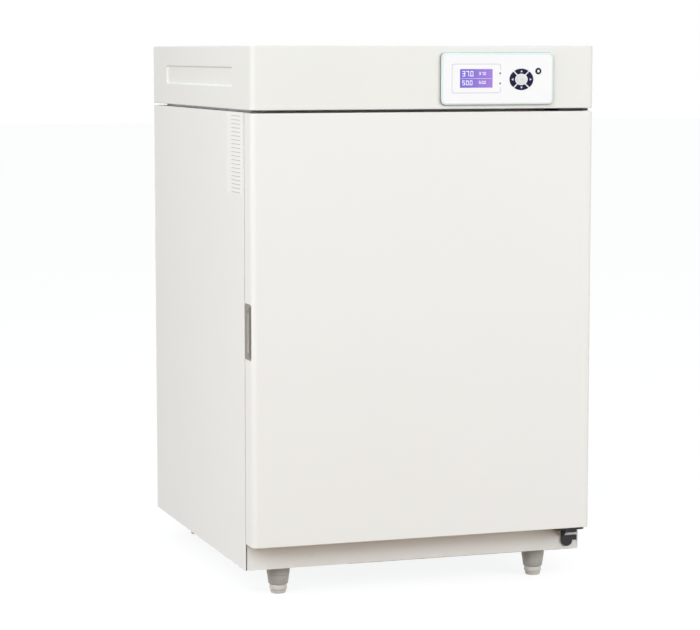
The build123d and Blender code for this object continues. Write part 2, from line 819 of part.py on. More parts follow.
lobe_x = half - wall_left + lobe_radius
bracket = tongue(tongue_low, tongue_top, face)
wall_shape = Pos(0, lobe_rise) * Circle(lobe_radius)
wall_width = wall_left - tongue_right
wall_middle = wall_width / 2 - lobe_radius
wall_shape += Pos(wall_middle, (tongue_top - foot_height + lobe_rise) / 2) * (
    Rectangle(wall_width, tongue_top - foot_height - lobe_rise))
window = Pos(wall_middle + web_thick, window_rise + window_height / 2) * Rectangle(wall_width, window_height)
bracket += facing(wall_shape - window, lobe_x, foot_height, face - hinge_plate, face)
with BuildSketch(Plane.YZ) as web_outline:
    with BuildLine():
        Polyline((front + tongue_front + tongue_radius, tongue_low), (face, tongue_low),
                 (face, tongue_low - web_drop), (face - hinge_plate, tongue_low - web_drop), close=True)
    make_face()
bracket += Pos(half - wall_left, 0, 0) * extrude(web_outline.sketch, web_thick)
bracket += post(pin_x, pin_y, tongue_low, door_bottom + pin_length, pin_radius)
save(bracket, "lower_hinge")

# Upper hinge plate in the gap under the head
upper = tongue(body_top, body_top + hinge_plate, face + plinth_front - edge_radius)
upper += post(pin_x, pin_y, door_top - pin_length, body_top + hinge_plate, pin_radius)
save(upper, "upper_hinge")


# Head cover: one folded cover with soft corners and a pressed pocket in each side
def head_form(inset, reach):
    form = block(-half + inset, half - inset, front + inset, back + reach, head_floor - reach, height - inset)
    return fillet(form.edges().filter_by(Axis.Z).group_by(Axis.Y)[0], corner_radius - inset)


def side_pocket(grow):
    low = head_floor + pocket_low
    high = height - pocket_drop
    start = front + pocket_front
    end = back - pocket_rear
    outline = Rectangle(high - low + 2 * grow, end - start + 2 * grow)
    pressed = extrude(outline, pocket_depth + grow, taper=pocket_taper)
    middle = Pos(0, (start + end) / 2, (low + high) / 2)
    left = middle * Pos(-half, 0, 0) * Rot(0, 90, 0) * pressed
    return left + mirror(left, Plane.YZ)


head_inner = head_form(sheet, sheet) - side_pocket(sheet)
head_cover = head_form(0, 0) - side_pocket(0) - head_inner
save(head_cover, "head_cover")

# Head deck and rear panel
deck_half = half - sheet - gap
head_deck = block(-deck_half, deck_half, front + sheet + gap, back - heavy_sheet - gap, head_floor,
                  head_floor + sheet)
save(chamfer(head_deck.edges().filter_by(Axis.Z).group_by(Axis.Y)[0], corner_radius), "head_deck")
head_rear = block(-deck_half, deck_half, back - heavy_sheet, back, head_floor, height - sheet - gap)
slot_gap = block(-louvre_width / 2, louvre_width / 2, back - 2 * heavy_sheet, back + sheet, 0, louvre_height)
for row in range(louvre_count // 2):
    head_rear -= Pos(-half / 2, 0, head_floor + head_louvre_rise + row * louvre_pitch) * slot_gap
head_rear -= facing(Rectangle(entry_width + 2 * gap, entry_height + 2 * gap), entry_x, entry_z,
                    back - 2 * heavy_sheet, back + sheet)
save(head_rear, "head_rear")

# Electronics on the head deck
electronics = block(-board_width, 0, electronics_back - board_depth + front, electronics_back + front,
                    head_floor + sheet + board_lift, head_floor + sheet + board_lift + board_thick)
for x in (-board_width + board_lift, -board_lift):
    for y in (electronics_back - board_depth + board_lift, electronics_back - board_lift):
        electronics += block(x - board_lift / 2, x + board_lift / 2, front + y - board_lift / 2,
                             front + y + board_lift / 2, head_floor + sheet, head_floor + sheet + board_lift)
electronics += block(board_lift * 2, board_lift * 2 + supply_width, front + electronics_back - supply_depth,
                     front + electronics_back, head_floor + sheet, head_floor + sheet + supply_height)
save(electronics, "head_electronics")

# Control panel: bezel, thin overlay, display, lamps and six keys
bezel = plate(panel_left, panel_right, panel_low, panel_high, panel_face, front, panel_radius)
overlay_back = panel_face + overlay_thick


def overlay_plate(y_from, y_to):
    return plate(panel_left + panel_edge, panel_right - panel_edge, panel_low + panel_edge,
                 panel_high - panel_edge, y_from, y_to, panel_radius - panel_edge / 2)


def oval(half_wide, half_tall):
    # Four tangent arcs: small ones at the sides, large ones above and below
    side = half_tall ** 2 / half_wide
    crown = ((half_wide - side) ** 2 + half_tall ** 2 - side ** 2) / (2 * (half_tall - side))
    joint_x = (half_wide - side) * crown / (crown - side)
    joint_z = half_tall - crown + (crown - half_tall) * crown / (crown - side)
    with BuildSketch() as outline:
        with BuildLine():
            ThreePointArc((-joint_x, joint_z), (0, half_tall), (joint_x, joint_z))
            ThreePointArc((joint_x, joint_z), (half_wide, 0), (joint_x, -joint_z))
            ThreePointArc((joint_x, -joint_z), (0, -half_tall), (-joint_x, -joint_z))
            ThreePointArc((-joint_x, -joint_z), (-half_wide, 0), (-joint_x, joint_z))
        make_face()
    return outline.sketch


def ring_key(quarter, grow):
    outer = oval(ring_half_width + grow, ring_half_height + grow)
    inner = oval(ring_half_width * ring_inner - grow, ring_half_height * ring_inner - grow)
    reach = 2 * ring_half_width
    slot_half = ring_slot / 2 - grow
    apex = slot_half * math.sqrt(2)
    wedge = make_face(Polyline((apex, 0), (reach, reach - apex), (reach, apex - reach), close=True))
    return (outer - inner) & (Rot(0, 0, quarter * 90) * wedge)


ring_x = panel_x + ring_shift
ring_z = panel_z - ring_drop
round_key_x = panel_x + round_key_shift
round_key_z = panel_z + round_key_lift
lcd_x = panel_x + lcd_shift
lcd_z = panel_z + lcd_lift
lamp_x = panel_x + lamp_shift
key_shapes = {}
for quarter, name in enumerate(("key_right", "key_up", "key_left", "key_down")):
    key_shapes[name] = (ring_x, ring_z, ring_key(quarter, 0), ring_key(quarter, key_gap))
centre_half_width = ring_half_width * centre_key
centre_half_height = ring_half_height * centre_key
key_shapes["key_centre"] = (ring_x, ring_z, oval(centre_half_width, centre_half_height),
                            oval(centre_half_width + key_gap, centre_half_height + key_gap))
key_shapes["key_round"] = (round_key_x, round_key_z, Circle(round_key_radius),
                           Circle(round_key_radius + key_gap))
holes = None
for name, (x, z, shape, hole) in key_shapes.items():
    key_front = panel_face - key_proud
    save(facing(shape, x, z, key_front, key_front + key_length), name)
    cut = facing(hole, x, z, panel_face - sheet, front + sheet)
    holes = cut if holes is None else holes + cut
key_well = facing(oval(ring_half_width + key_gap, ring_half_height + key_gap), ring_x, ring_z,
                  overlay_back, front + sheet)
lamps = None
for lamp_z in (lcd_z - lamp_spread, lcd_z + lamp_spread):
    lamp = bar(lamp_x, lamp_z, panel_face, panel_face + lcd_thick, lamp_radius)
    lamps = lamp if lamps is None else lamps + lamp
    holes += bar(lamp_x, lamp_z, panel_face - sheet, panel_face + lcd_thick, lamp_radius)
display = facing(Rectangle(lcd_width, lcd_height), lcd_x, lcd_z, panel_face, panel_face + lcd_thick)
holes += facing(Rectangle(lcd_width, lcd_height), lcd_x, lcd_z, panel_face - sheet, panel_face + lcd_thick)
save(bezel - overlay_plate(panel_face - sheet, overlay_back) - holes - key_well, "panel_bezel")
save(overlay_plate(panel_face, overlay_back) - holes, "panel_overlay")
save(display, "display")
save(lamps, "status_lamps")

# Power entry: socket and rocker switch in one housing
entry = facing(Rectangle(entry_width, entry_height), entry_x, entry_z, back - entry_deep, back)
entry_rim = RectangleRounded(entry_width + 2 * entry_flange, entry_height + 2 * entry_flange, edge_radius)
entry += facing(entry_rim, entry_x, entry_z, back, back + entry_proud)
socket_z = entry_z - socket_drop
entry -= facing(RectangleRounded(socket_width, socket_height, edge_radius), entry_x, socket_z,
                back + entry_proud - socket_deep, back + 2 * entry_proud)
for step in (-1, 0, 1):
    entry += facing(Rectangle(pin_wide, pin_tall), entry_x + step * pin_pitch, socket_z,
                    back + entry_proud - socket_deep - gap, back + entry_proud - socket_deep + pin_long)
rocker_z = entry_z + rocker_rise
entry -= facing(Rectangle(rocker_width + 2 * gap, rocker_height + 4 * gap), entry_x, rocker_z,
                back + entry_proud - rocker_deep, back + 2 * entry_proud)
save(entry, "power_entry")
rocker_y = back - entry_proud
with BuildSketch(Plane.YZ) as rocker_side:
    with BuildLine():
        Polyline((rocker_dish + entry_proud, -rocker_height / 2), (entry_proud, 0),
                 (rocker_dish + entry_proud, rocker_height / 2),
                 (-entry_proud, rocker_height / 2 - rocker_dish),
                 (-entry_proud, rocker_dish - rocker_height / 2), close=True)
    make_face()
rocker = extrude(rocker_side.sketch, rocker_width / 2, both=True)
save(Pos(entry_x, rocker_y, rocker_z) * Rot(rocker_tilt, 0, 0) * rocker, "rocker")
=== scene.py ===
import json
import math
import bmesh
import bpy
from functools import partial
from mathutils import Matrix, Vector


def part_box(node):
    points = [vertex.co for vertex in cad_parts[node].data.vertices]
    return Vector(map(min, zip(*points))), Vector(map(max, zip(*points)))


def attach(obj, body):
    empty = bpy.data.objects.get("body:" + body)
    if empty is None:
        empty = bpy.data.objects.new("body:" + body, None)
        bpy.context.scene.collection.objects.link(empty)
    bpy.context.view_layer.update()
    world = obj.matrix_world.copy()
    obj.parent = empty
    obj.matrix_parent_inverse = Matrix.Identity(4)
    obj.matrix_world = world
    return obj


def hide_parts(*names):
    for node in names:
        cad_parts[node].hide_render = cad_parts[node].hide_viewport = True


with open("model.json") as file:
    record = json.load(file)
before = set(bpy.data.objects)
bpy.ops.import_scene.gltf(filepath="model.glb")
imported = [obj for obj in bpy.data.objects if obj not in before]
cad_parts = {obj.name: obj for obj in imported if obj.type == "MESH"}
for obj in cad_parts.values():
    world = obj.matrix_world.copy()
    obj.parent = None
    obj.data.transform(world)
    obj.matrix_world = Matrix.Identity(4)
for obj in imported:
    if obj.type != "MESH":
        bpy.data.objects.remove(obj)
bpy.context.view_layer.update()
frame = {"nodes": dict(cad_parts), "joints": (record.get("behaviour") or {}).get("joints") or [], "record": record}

mm = 0.001
crease = 32  # degrees; a sharper fold keeps a crisp edge
joined = 1e-7  # metres; points closer than this are one
scene = bpy.context.scene
nodes = frame["nodes"]
print("frame loaded:", len(nodes), "nodes")


def toLinear(hexText):
    channels = [int(hexText[at:at + 2], 16) / 255 for at in (0, 2, 4)]
    return [c / 12.92 if c <= 0.04045 else ((c + 0.055) / 1.055) ** 2.4 for c in channels] + [1]


def addObject(name, data):
    thing = bpy.data.objects.new(name, data)
    scene.collection.objects.link(thing)
    return thing


def finalMesh(thing):
    bpy.context.view_layer.update()
    return bpy.data.meshes.new_from_object(thing.evaluated_get(bpy.context.evaluated_depsgraph_get()))


def smooth(mesh, sharp=crease):
    mesh.shade_smooth()
    mesh.set_sharp_from_angle(angle=math.radians(sharp))
    return mesh


def addNode(tree, kind, inputs=None, **settings):
    # An input takes a value, a socket, or a node, which stands for its first output
    node = tree.nodes.new(kind)
    for name, value in settings.items():
        setattr(node, name, value)
    for name, value in (inputs or {}).items():
        if isinstance(value, bpy.types.Node):
            value = value.outputs[0]
        if isinstance(value, bpy.types.NodeSocket):
            tree.links.new(value, node.inputs[name])
        else:
            node.inputs[name].default_value = value
    return node


def emptyTree(owner):
    owner.use_nodes = True
    owner.node_tree.nodes.clear()
    return partial(addNode, owner.node_tree)


def newFinish(name, shaderValues):
    material = bpy.data.materials.new(name)
    add = emptyTree(material)
    shader = add("ShaderNodeBsdfPrincipled", shaderValues)
    add("ShaderNodeOutputMaterial", {"Surface": shader})
    coords = add("ShaderNodeTexCoord").outputs["Object"]
    return dict(material=material, links=material.node_tree.links, add=add, shader=shader, coords=coords)


grain = {"details": (3, 4, 2), "low": 0.3, "high": 0.7}


def grained(name, tones, toneSize, roughness, roughSize, bumpSize, bumpDepth, shaderValues=None,
            stretch=(1, 1, 1)):
    # Tone drift, roughness drift and fine bump, all sized in real millimetres
    finish = newFinish(name, shaderValues)
    add, links, shader = finish["add"], finish["links"], finish["shader"]
    mapped = add("ShaderNodeMapping", {"Vector": finish["coords"], "Scale": stretch})
    tone, rough, fine = [add("ShaderNodeTexNoise",
                             {"Vector": mapped, "Scale": 1 / (size * mm), "Detail": detail})
                         for size, detail in zip((toneSize, roughSize, bumpSize), grain["details"])]
    toned = add("ShaderNodeMix", {0: tone, 6: toLinear(tones[0]), 7: toLinear(tones[1])}, data_type="RGBA")
    spread = add("ShaderNodeMapRange",
                 {"Value": rough, 1: grain["low"], 2: grain["high"], 3: roughness[0], 4: roughness[1]})
    bump = add("ShaderNodeBump", {"Height": fine, "Distance": bumpDepth * mm, "Strength": 1.0})
    finish["toned"] = toned.outputs[2]
    links.new(finish["toned"], shader.inputs["Base Color"])
    links.new(spread.outputs[0], shader.inputs["Roughness"])
    links.new(bump.outputs[0], shader.inputs["Normal"])
    return finish


def roundedRing(halfWide, halfTall, radius, steps=6):
    ring = []
    for corner, (sideU, sideV) in enumerate(((1, 1), (-1, 1), (-1, -1), (1, -1))):
        for step in range(steps + 1):
            turn = math.radians(90 * corner + 90 * step / steps)
            ring.append((sideU * (halfWide - radius) + radius * math.cos(turn),
                         sideV * (halfTall - radius) + radius * math.sin(turn)))
    return ring


def ovalRing(halfWide, halfTall, count):
    turns = [2 * math.pi * step / count for step in range(count)]
    return [(halfWide * math.cos(turn), halfTall * math.sin(turn)) for turn in turns]


def middleOf(low, high, axes="xz"):
    return [(getattr(low, axis) + getattr(high, axis)) / 2 for axis in axes]


def halfSize(low, high, axes="xz"):
    return [(getattr(high, axis) - getattr(low, axis)) / 2 for axis in axes]


def place(ring, axis, depth, centre=(0, 0)):
    u0, v0 = centre
    if axis == "x":
        return [(depth, u0 + u, v0 + v) for u, v in ring]
    if axis == "y":
        return [(u0 + u, depth, v0 + v) for u, v in ring]
    return [(u0 + u, v0 + v, depth) for u, v in ring]


def eased(edge, steps=3):
    # How far in and how deep an eased edge is, step by step round its quarter turn
    turns = [math.pi / 2 * step / steps for step in range(steps + 1)]
    return [(edge * (1 - math.sin(turn)), edge * (1 - math.cos(turn))) for turn in turns]


def turned(profile, axis, centre, count=32):
    return [place(ovalRing(radius, radius, count), axis, depth, centre) for radius, depth in profile]


def softBlock(low, high, radius, axis, edge, steps=5, least=0.05 * mm):
    # A block with round corners in one plane and an eased edge all round
    u, v, w = {"x": (1, 2, 0), "y": (0, 2, 1), "z": (0, 1, 2)}[axis]
    halfU, halfV = (high[u] - low[u]) / 2, (high[v] - low[v]) / 2
    centre = ((high[u] + low[u]) / 2, (high[v] + low[v]) / 2)
    ends = [(inset, low[w] + deep) for inset, deep in eased(edge)]
    ends += [(inset, high[w] - deep) for inset, deep in reversed(eased(edge))]
    return [place(roundedRing(halfU - inset, halfV - inset, max(radius - inset, least), steps),
                  axis, depth, centre) for inset, depth in ends]


def folded(low, high, frontRadius, backRadius, edge, inset=0, openBack=0, steps=8, least=0.1 * mm):
    # A folded sheet box: round front corners, smaller back corners, eased top and bottom edges
    def section(grow, z):
        x0, x1, y0, y1 = low[0] + grow, high[0] - grow, low[1] + grow, high[1] - grow + openBack
        points = []
        for cx, cy, radius, start in ((x1, y1, backRadius, 0), (x0, y1, backRadius, 90),
                                      (x0, y0, frontRadius, 180), (x1, y0, frontRadius, 270)):
            radius = max(radius - grow, least)
            midX = cx - radius if start in (0, 270) else cx + radius
            midY = cy - radius if start in (0, 90) else cy + radius
            for step in range(steps + 1):
                turn = math.radians(start + 90 * step / steps)
                points.append((midX + radius * math.cos(turn), midY + radius * math.sin(turn), z))
        return points
    rings = [section(inset + into, low[2] + inset + deep) for into, deep in eased(edge)]
    return rings + [section(inset + into, high[2] - inset - deep) for into, deep in reversed(eased(edge))]


def addLoft(build, rings, loop=False, slot=0):
    rows = [[build.verts.new(point) for point in ring] for ring in rings]
    faces = []
    for near, far in list(zip(rows, rows[1:])) + ([(rows[-1], rows[0])] if loop else []):
        for at in range(len(near)):
            after = (at + 1) % len(near)
            faces.append(build.faces.new((near[at], near[after], far[after], far[at])))
    if not loop:
        faces += [build.faces.new(list(reversed(rows[0]))), build.faces.new(rows[-1])]
    for face in faces:
        face.material_index = slot


def addBlock(build, low, high, slot=0):
    (x0, y0, z0), (x1, y1, z1) = low, high
    addLoft(build, [[(x0, y0, z), (x1, y0, z), (x1, y1, z), (x0, y1, z)] for z in (z0, z1)], slot=slot)


def toMesh(build, sharp=crease):
    bmesh.ops.remove_doubles(build, verts=build.verts, dist=joined)
    bmesh.ops.recalc_face_normals(build, faces=build.faces)
    mesh = bpy.data.meshes.new("shape")
    build.to_mesh(mesh)
    build.free()
    return smooth(mesh, sharp)


def loftMesh(*shapes, sharp=crease, loop=False):
    build = bmesh.new()
    for rings in shapes:
        addLoft(build, rings, loop)
    return toMesh(build, sharp)


def carve(mesh, cutters, sharp=crease, crossing=False):
    # Cuts shapes out of a solid, and frees the shapes afterwards
    solid = addObject("solid", mesh)
    tools = [addObject("tool", cutter) for cutter in cutters]
    for tool in tools:
        cut = solid.modifiers.new("cut", "BOOLEAN")
        cut.object, cut.operation, cut.solver, cut.use_self = tool, "DIFFERENCE", "EXACT", crossing
    result = finalMesh(solid)
    for tool in tools + [solid]:
        bpy.data.objects.remove(tool)
    build = bmesh.new()
    build.from_mesh(result)
    bmesh.ops.dissolve_degenerate(build, dist=joined, edges=build.edges)
    build.to_mesh(result)
    build.free()
    return smooth(result, sharp)


def addPiece(name, mesh, finishes, body, replaced=(), weighted=False):
    if not mesh.materials:
        for finish in finishes:
            mesh.materials.append(finish["material"])
    mesh.name = name
    piece = addObject(name, mesh)
    if weighted:
        piece.modifiers.new("flatFaces", "WEIGHTED_NORMAL").keep_sharp = True
    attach(piece, body)
    if replaced:
        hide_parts(*replaced)


# A grained finish lists tones and their size, roughness and its size, then the bump's size and depth
# Powder-coated sheet steel: sprayed and baked, so it has a faint orange peel and a soft sheen
sprayed = (("F3F3F0", "F5F5F2"), 260, (0.42, 0.5), 90, 2.6, 0.012, {"Specular IOR Level": 0.4})
paint = grained("powderCoatedSteel", *sprayed)
# The head's cover is painted slightly greyer than the door: painted shade for the less lit head
headShadedPaint = grained("powderCoatWithPaintedShade", ("EFF0EC", "F2F3EF"), 240, (0.42, 0.5), 90, 2.6, 0.012,
                    {"Specular IOR Level": 0.4})
# Black powder coat on the hinges: even and satin
blackCoat = grained("blackPowderCoat", ("161617", "232324"), 12, (0.32, 0.48), 8, 1.4, 0.02)
# Zinc-plated sheet: bright, bluish, with a spangled tone
zinc = grained("zincPlatedSteel", ("A9ADB1", "C6C8CA"), 9, (0.3, 0.46), 14, 3, 0.02, {"Metallic": 1.0})
# Brushed stainless sheet: long fine lines, drawn 2.5 mm apart because real ones are too fine to show
steel = grained("brushedStainless", ("C0C1C3", "D2D3D3"), 40, (0.24, 0.36), 30, 2.5, 0.01, {"Metallic": 1.0},
                stretch=(0.03, 1, 1))
# Chrome-plated fittings: polished, mirror bright
chrome = grained("chromePlate", ("D4D6D8", "E0E1E2"), 20, (0.08, 0.18), 10, 4, 0.004, {"Metallic": 1.0})
# Cast aluminium: matt, fine grained
aluminium = grained("castAluminium", ("B8BABC", "CDCFD0"), 7, (0.36, 0.52), 5, 1.5, 0.03, {"Metallic": 1.0})
# Machined brass with turning lines
brass = grained("machinedBrass", ("BE9850", "D3B06A"), 6, (0.2, 0.36), 4, 1, 0.01, {"Metallic": 1.0},
                stretch=(1, 3, 1))
# Rigid polyurethane foam: poured in place, matt and cellular
foam = grained("polyurethaneFoam", ("DACFA6", "EAE2C4"), 18, (0.85, 0.95), 6, 2.2, 0.5)
# Silicone heating mat: moulded, with the print of its weave
heater = grained("siliconeHeatingMat", ("A9482A", "BD5836"), 14, (0.52, 0.66), 8, 1.6, 0.1)
# Moulded silicone: translucent white, soft
silicone = grained("mouldedSilicone", ("DEDED8", "EAEAE5"), 22, (0.36, 0.5), 9, 2, 0.03,
                   {"Subsurface Weight": 0.15, "Subsurface Scale": 0.004})
# Extruded grey rubber: dull, with fine lengthwise drag lines
gasketRubber = grained("extrudedRubber", ("4E5053", "5E6063"), 30, (0.55, 0.7), 7, 1.6, 0.05)
# Moulded nylon of the feet: light grey, satin
footNylon = grained("mouldedNylon", ("D8D5CF", "E9E6E0"), 12, (0.42, 0.58), 6, 1.3, 0.05)
# Moulded grey plastic of the leg cups and cable sleeve
greyPlastic = grained("mouldedGreyAbs", ("AFADA8", "C4C2BD"), 14, (0.38, 0.54), 7, 1.2, 0.05)
# Handle bezel and its darker grip bar, both spark-textured ABS
handlePlastic = grained("texturedAbs", ("84817A", "94918A"), 9, (0.42, 0.58), 5, 0.9, 0.05)
gripPlastic = grained("texturedDarkAbs", ("555346", "686658"), 9, (0.44, 0.6), 5, 0.9, 0.05)
# Pale inner cup of the handle, moulded in the same material
pocketPlastic = grained("texturedPaleAbs", ("DED9CD", "EDE9DE"), 9, (0.42, 0.58), 5, 0.9, 0.04)
# A black strip in the seam beside the door, which paints the seam's shadow, and a brown bead along the kick
# panel's lower edge, which paints the shadow line there
seamShadowFinish = grained("paintedSeamShadow", ("333333", "444444"), 25, (0.52, 0.68), 7, 1.5, 0.04)
kickShadowFinish = grained("paintedKickShadow", ("4E4036", "CFC4B6"), 16, (0.45, 0.65), 6, 1.2, 0.05)
# Black moulded plastic of the power entry
blackPlastic = grained("mouldedBlackNylon", ("18181A", "262628"), 10, (0.34, 0.5), 5, 0.9, 0.04)
# Cast acrylic bezel: pale cyan, glossy, lit through at its edge
acrylic = grained("castAcrylic", ("DDF1F1", "E9F8F7"), 60, (0.12, 0.2), 20, 6, 0.004,
                  {"Coat Weight": 0.6, "Coat Roughness": 0.05, "Subsurface Weight": 0.2,
                   "Subsurface Scale": 0.003})
# Grey on the bezel's sides: painted shade standing in for the shaded sides of the acrylic
bezelSideShade = grained("paintedBezelSideShade", ("777D7B", "888E8C"), 14, (0.44, 0.56), 6, 1.2, 0.02)
# Printed polyester film: white ink behind a satin face
film = grained("polyesterFilm", ("FAFCFE", "FDFEFF"), 80, (0.28, 0.36), 25, 2.5, 0.006,
               {"Specular IOR Level": 0.45})
# Screen-printed ink lines on that film
ink = grained("screenPrintInk", ("BFBCCD", "D3D0DE"), 14, (0.45, 0.56), 6, 1, 0.004)
# Moulded silicone keys: navy, satin
navyKey = grained("navySiliconeKey", ("090A2A", "101138"), 9, (0.44, 0.56), 5, 0.9, 0.02,
                  {"Specular IOR Level": 0.25})
whiteKey = grained("whiteSiliconeKey", ("DFE0E4", "EBECEE"), 9, (0.32, 0.44), 5, 0.9, 0.02)
glyphInk = grained("glyphInk", ("D2D4E4", "E2E4F0"), 6, (0.4, 0.5), 4, 0.8, 0.002)
# Glass-fibre circuit board
board = grained("glassFibreBoard", ("295F3C", "377650"), 8, (0.28, 0.44), 4, 0.9, 0.03)
# Indicator lamp lens: diffused grey when unlit
lampLens = grained("diffusedLens", ("626568", "767A7C"), 3, (0.2, 0.32), 2, 0.6, 0.01,
                   {"Transmission Weight": 0.15})
# Toughened float glass: clear, with a green cast through its edge
glass = grained("toughenedGlass", ("F0F8F5", "F6FCFA"), 120, (0.015, 0.03), 60, 90, 0.004,
                {"Transmission Weight": 1.0, "IOR": 1.5})
# Clear polycarbonate of the gas filter
clearPlastic = grained("clearPolycarbonate", ("E8EEF1", "F4F7F8"), 12, (0.05, 0.12), 6, 2, 0.01,
                       {"Transmission Weight": 0.8})

# Backlit display: the light guide gives bluer ink on the left and violet on the right
display = {"left": "6F62CC", "right": "9F7AD6", "cell": 5.4 * mm, "detail": 2, "dim": 0.82, "bright": 1.1}
screen = newFinish("backlitDisplay", {"Roughness": 0.22, "Coat Weight": 0.5, "Coat Roughness": 0.06,
                                      "Emission Strength": 0.12})
screenLow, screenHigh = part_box("display")
add = screen["add"]
axes = add("ShaderNodeSeparateXYZ", {0: screen["coords"]})
across = add("ShaderNodeMapRange", {"Value": axes, 1: screenLow.x, 2: screenHigh.x})
guide = add("ShaderNodeMix", {0: across, 6: toLinear(display["left"]), 7: toLinear(display["right"])},
            data_type="RGBA")
cells = add("ShaderNodeTexNoise", {"Vector": screen["coords"], "Scale": 1 / display["cell"],
                                   "Detail": display["detail"]})
shade = add("ShaderNodeMapRange", {"Value": cells, 3: display["dim"], 4: display["bright"]})
lit = add("ShaderNodeVectorMath", {0: guide.outputs[2], "Scale": shade}, operation="SCALE")
for label in ("Base Color", "Emission Color"):
    screen["links"].new(lit.outputs[0], screen["shader"].inputs[label])
segment = grained("displaySegment", ("E9E6F8", "F5F3FD"), 5, (0.26, 0.34), 3, 0.8, 0.002,
                  {"Emission Strength": 0.25, "Emission Color": toLinear("EFEDFB")})
print("finishes made")

finishOfSlot = {"paint": paint, "zinc": zinc, "foam": foam, "stainless": steel, "heater": heater,
                "silicone": silicone, "black_paint": blackCoat, "brass": brass, "clear_plastic": clearPlastic,
                "grey_plastic": greyPlastic, "board": board, "panel_plastic": acrylic, "overlay": film,
                "screen": screen, "lamp": lampLens, "black_plastic": blackPlastic,
                "grey_rubber": gasketRubber, "glass": glass, "chrome": chrome, "aluminium": aluminium,
                "key": navyKey, "key_white": whiteKey, "foot_rubber": footNylon}
for part in frame["record"]["subparts"]:
    mesh = nodes[part["node"]].data
    mesh.materials.clear()
    mesh.materials.append(finishOfSlot[part["material_slot"]]["material"])
    mesh.set_sharp_from_angle(angle=math.radians(crease))
# The left side panel also carries a bare vinyl label with pale ruled rows, laid on the powder coat
label = {"front": -278 * mm, "back": -183 * mm, "low": 661 * mm, "high": 793 * mm, "row": 6.5 * mm,
         "line": 0.2, "frontMargin": 12 * mm, "backMargin": 30 * mm, "vinyl": "FAFAF8", "rule": "C6C6C4"}
labelled = grained("powderCoatWithLabel", *sprayed)
add = labelled["add"]
axes = add("ShaderNodeSeparateXYZ", {0: labelled["coords"]})


def between(socket, low, high):
    above = add("ShaderNodeMath", {0: socket, 1: low}, operation="GREATER_THAN")
    below = add("ShaderNodeMath", {0: socket, 1: high}, operation="LESS_THAN")
    return add("ShaderNodeMath", {0: above, 1: below}, operation="MULTIPLY")


inDepth = between(axes.outputs[1], label["front"], label["back"])
inHeight = between(axes.outputs[2], label["low"], label["high"])
onLabel = add("ShaderNodeMath", {0: inDepth, 1: inHeight}, operation="MULTIPLY")
rows = add("ShaderNodeMath", {0: axes.outputs[2], 1: label["row"]}, operation="DIVIDE")
share = add("ShaderNodeMath", {0: rows}, operation="FRACT")
ruled = add("ShaderNodeMath", {0: share, 1: label["line"]}, operation="LESS_THAN")
inMargins = between(axes.outputs[1], label["front"] + label["frontMargin"],
                    label["back"] - label["backMargin"])
inside = add("ShaderNodeMath", {0: inMargins, 1: ruled}, operation="MULTIPLY")
sticker = add("ShaderNodeMix", {0: inside, 6: toLinear(label["vinyl"]), 7: toLinear(label["rule"])},
              data_type="RGBA")
whole = add("ShaderNodeMix", {0: onLabel, 6: labelled["toned"], 7: sticker.outputs[2]}, data_type="RGBA")
labelled["links"].new(whole.outputs[2], labelled["shader"].inputs["Base Color"])
nodes["side_panel_left"].data.materials[0] = labelled["material"]
print("frame parts finished")

doorShell = {"sheet": 1.2 * mm, "corner": 9 * mm, "backCorner": 2.5 * mm, "edge": 1.4 * mm,
             "innerEdge": 0.4 * mm, "returnWidth": 22 * mm, "opening": 12 * mm, "bush": 8 * mm,
             "bushDepth": 18 * mm, "past": 2 * mm, "cut": 4 * mm}
doorLow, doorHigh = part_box("door_skin")
cupLow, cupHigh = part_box("handle_cup")
pin = Vector(next(j["pos_m"] for j in frame["joints"] if j["name"] == "outer_door_hinge"))
handle = {"front": -323.5 * mm, "back": -288.2 * mm, "corner": 3 * mm, "slotFront": -311 * mm,
          "slotBack": -299 * mm, "margin": 12 * mm, "wall": 2 * mm, "slotCorner": 5 * mm,
          "pocketFront": -318 * mm, "pocketEdge": 1.2 * mm, "gap": 0.15 * mm, "sunk": 0.3 * mm,
          "plate": 3 * mm, "plateEdge": 0.6 * mm, "bodyFrom": 2.6 * mm, "bodyInset": 1 * mm,
          "flareWide": 1.12, "flareTall": 1.02, "palePast": 1.2 * mm, "nearby": 0.3 * mm,
          "slotDepths": (-1, 0.05, 1, 9)}
grip = {"inset": 0.9 * mm, "ends": 4 * mm, "deep": 5 * mm, "over": 0.2 * mm, "corner": 2 * mm,
        "edge": 0.9 * mm}
corners = (doorShell["corner"], doorShell["backCorner"])
outer = loftMesh(folded(doorLow, doorHigh, *corners, doorShell["edge"]))
inner = loftMesh(folded(doorLow, doorHigh, *corners, doorShell["innerEdge"], doorShell["sheet"]))
halfX, halfZ = [half - doorShell["returnWidth"] for half in halfSize(doorLow, doorHigh)]
ring = roundedRing(halfX, halfZ, doorShell["opening"])
middle = (0, (doorHigh.z + doorLow.z) / 2)
opening = loftMesh([place(ring, "y", doorHigh.y + reach, middle)
                    for reach in (-doorShell["cut"], doorShell["cut"])])
bushCuts = [loftMesh(turned([(doorShell["bush"], z) for z in ends], "z", (pin.x, pin.y)))
            for ends in ((doorLow.z - doorShell["past"], doorLow.z + doorShell["bushDepth"]),
                         (doorHigh.z - doorShell["bushDepth"], doorHigh.z + doorShell["past"]))]
handleMiddle = ((handle["front"] + handle["back"]) / 2, (cupLow.z + cupHigh.z) / 2)
ring = roundedRing((handle["back"] - handle["front"]) / 2, (cupHigh.z - cupLow.z) / 2, handle["corner"])
handleCut = loftMesh([place(ring, "x", doorLow.x + reach, handleMiddle)
                      for reach in (-doorShell["past"], doorShell["cut"])])
shell = carve(outer, [inner, opening, handleCut] + bushCuts)
addPiece("doorShell", shell, [paint], "outer_door", ["door_skin"], weighted=True)

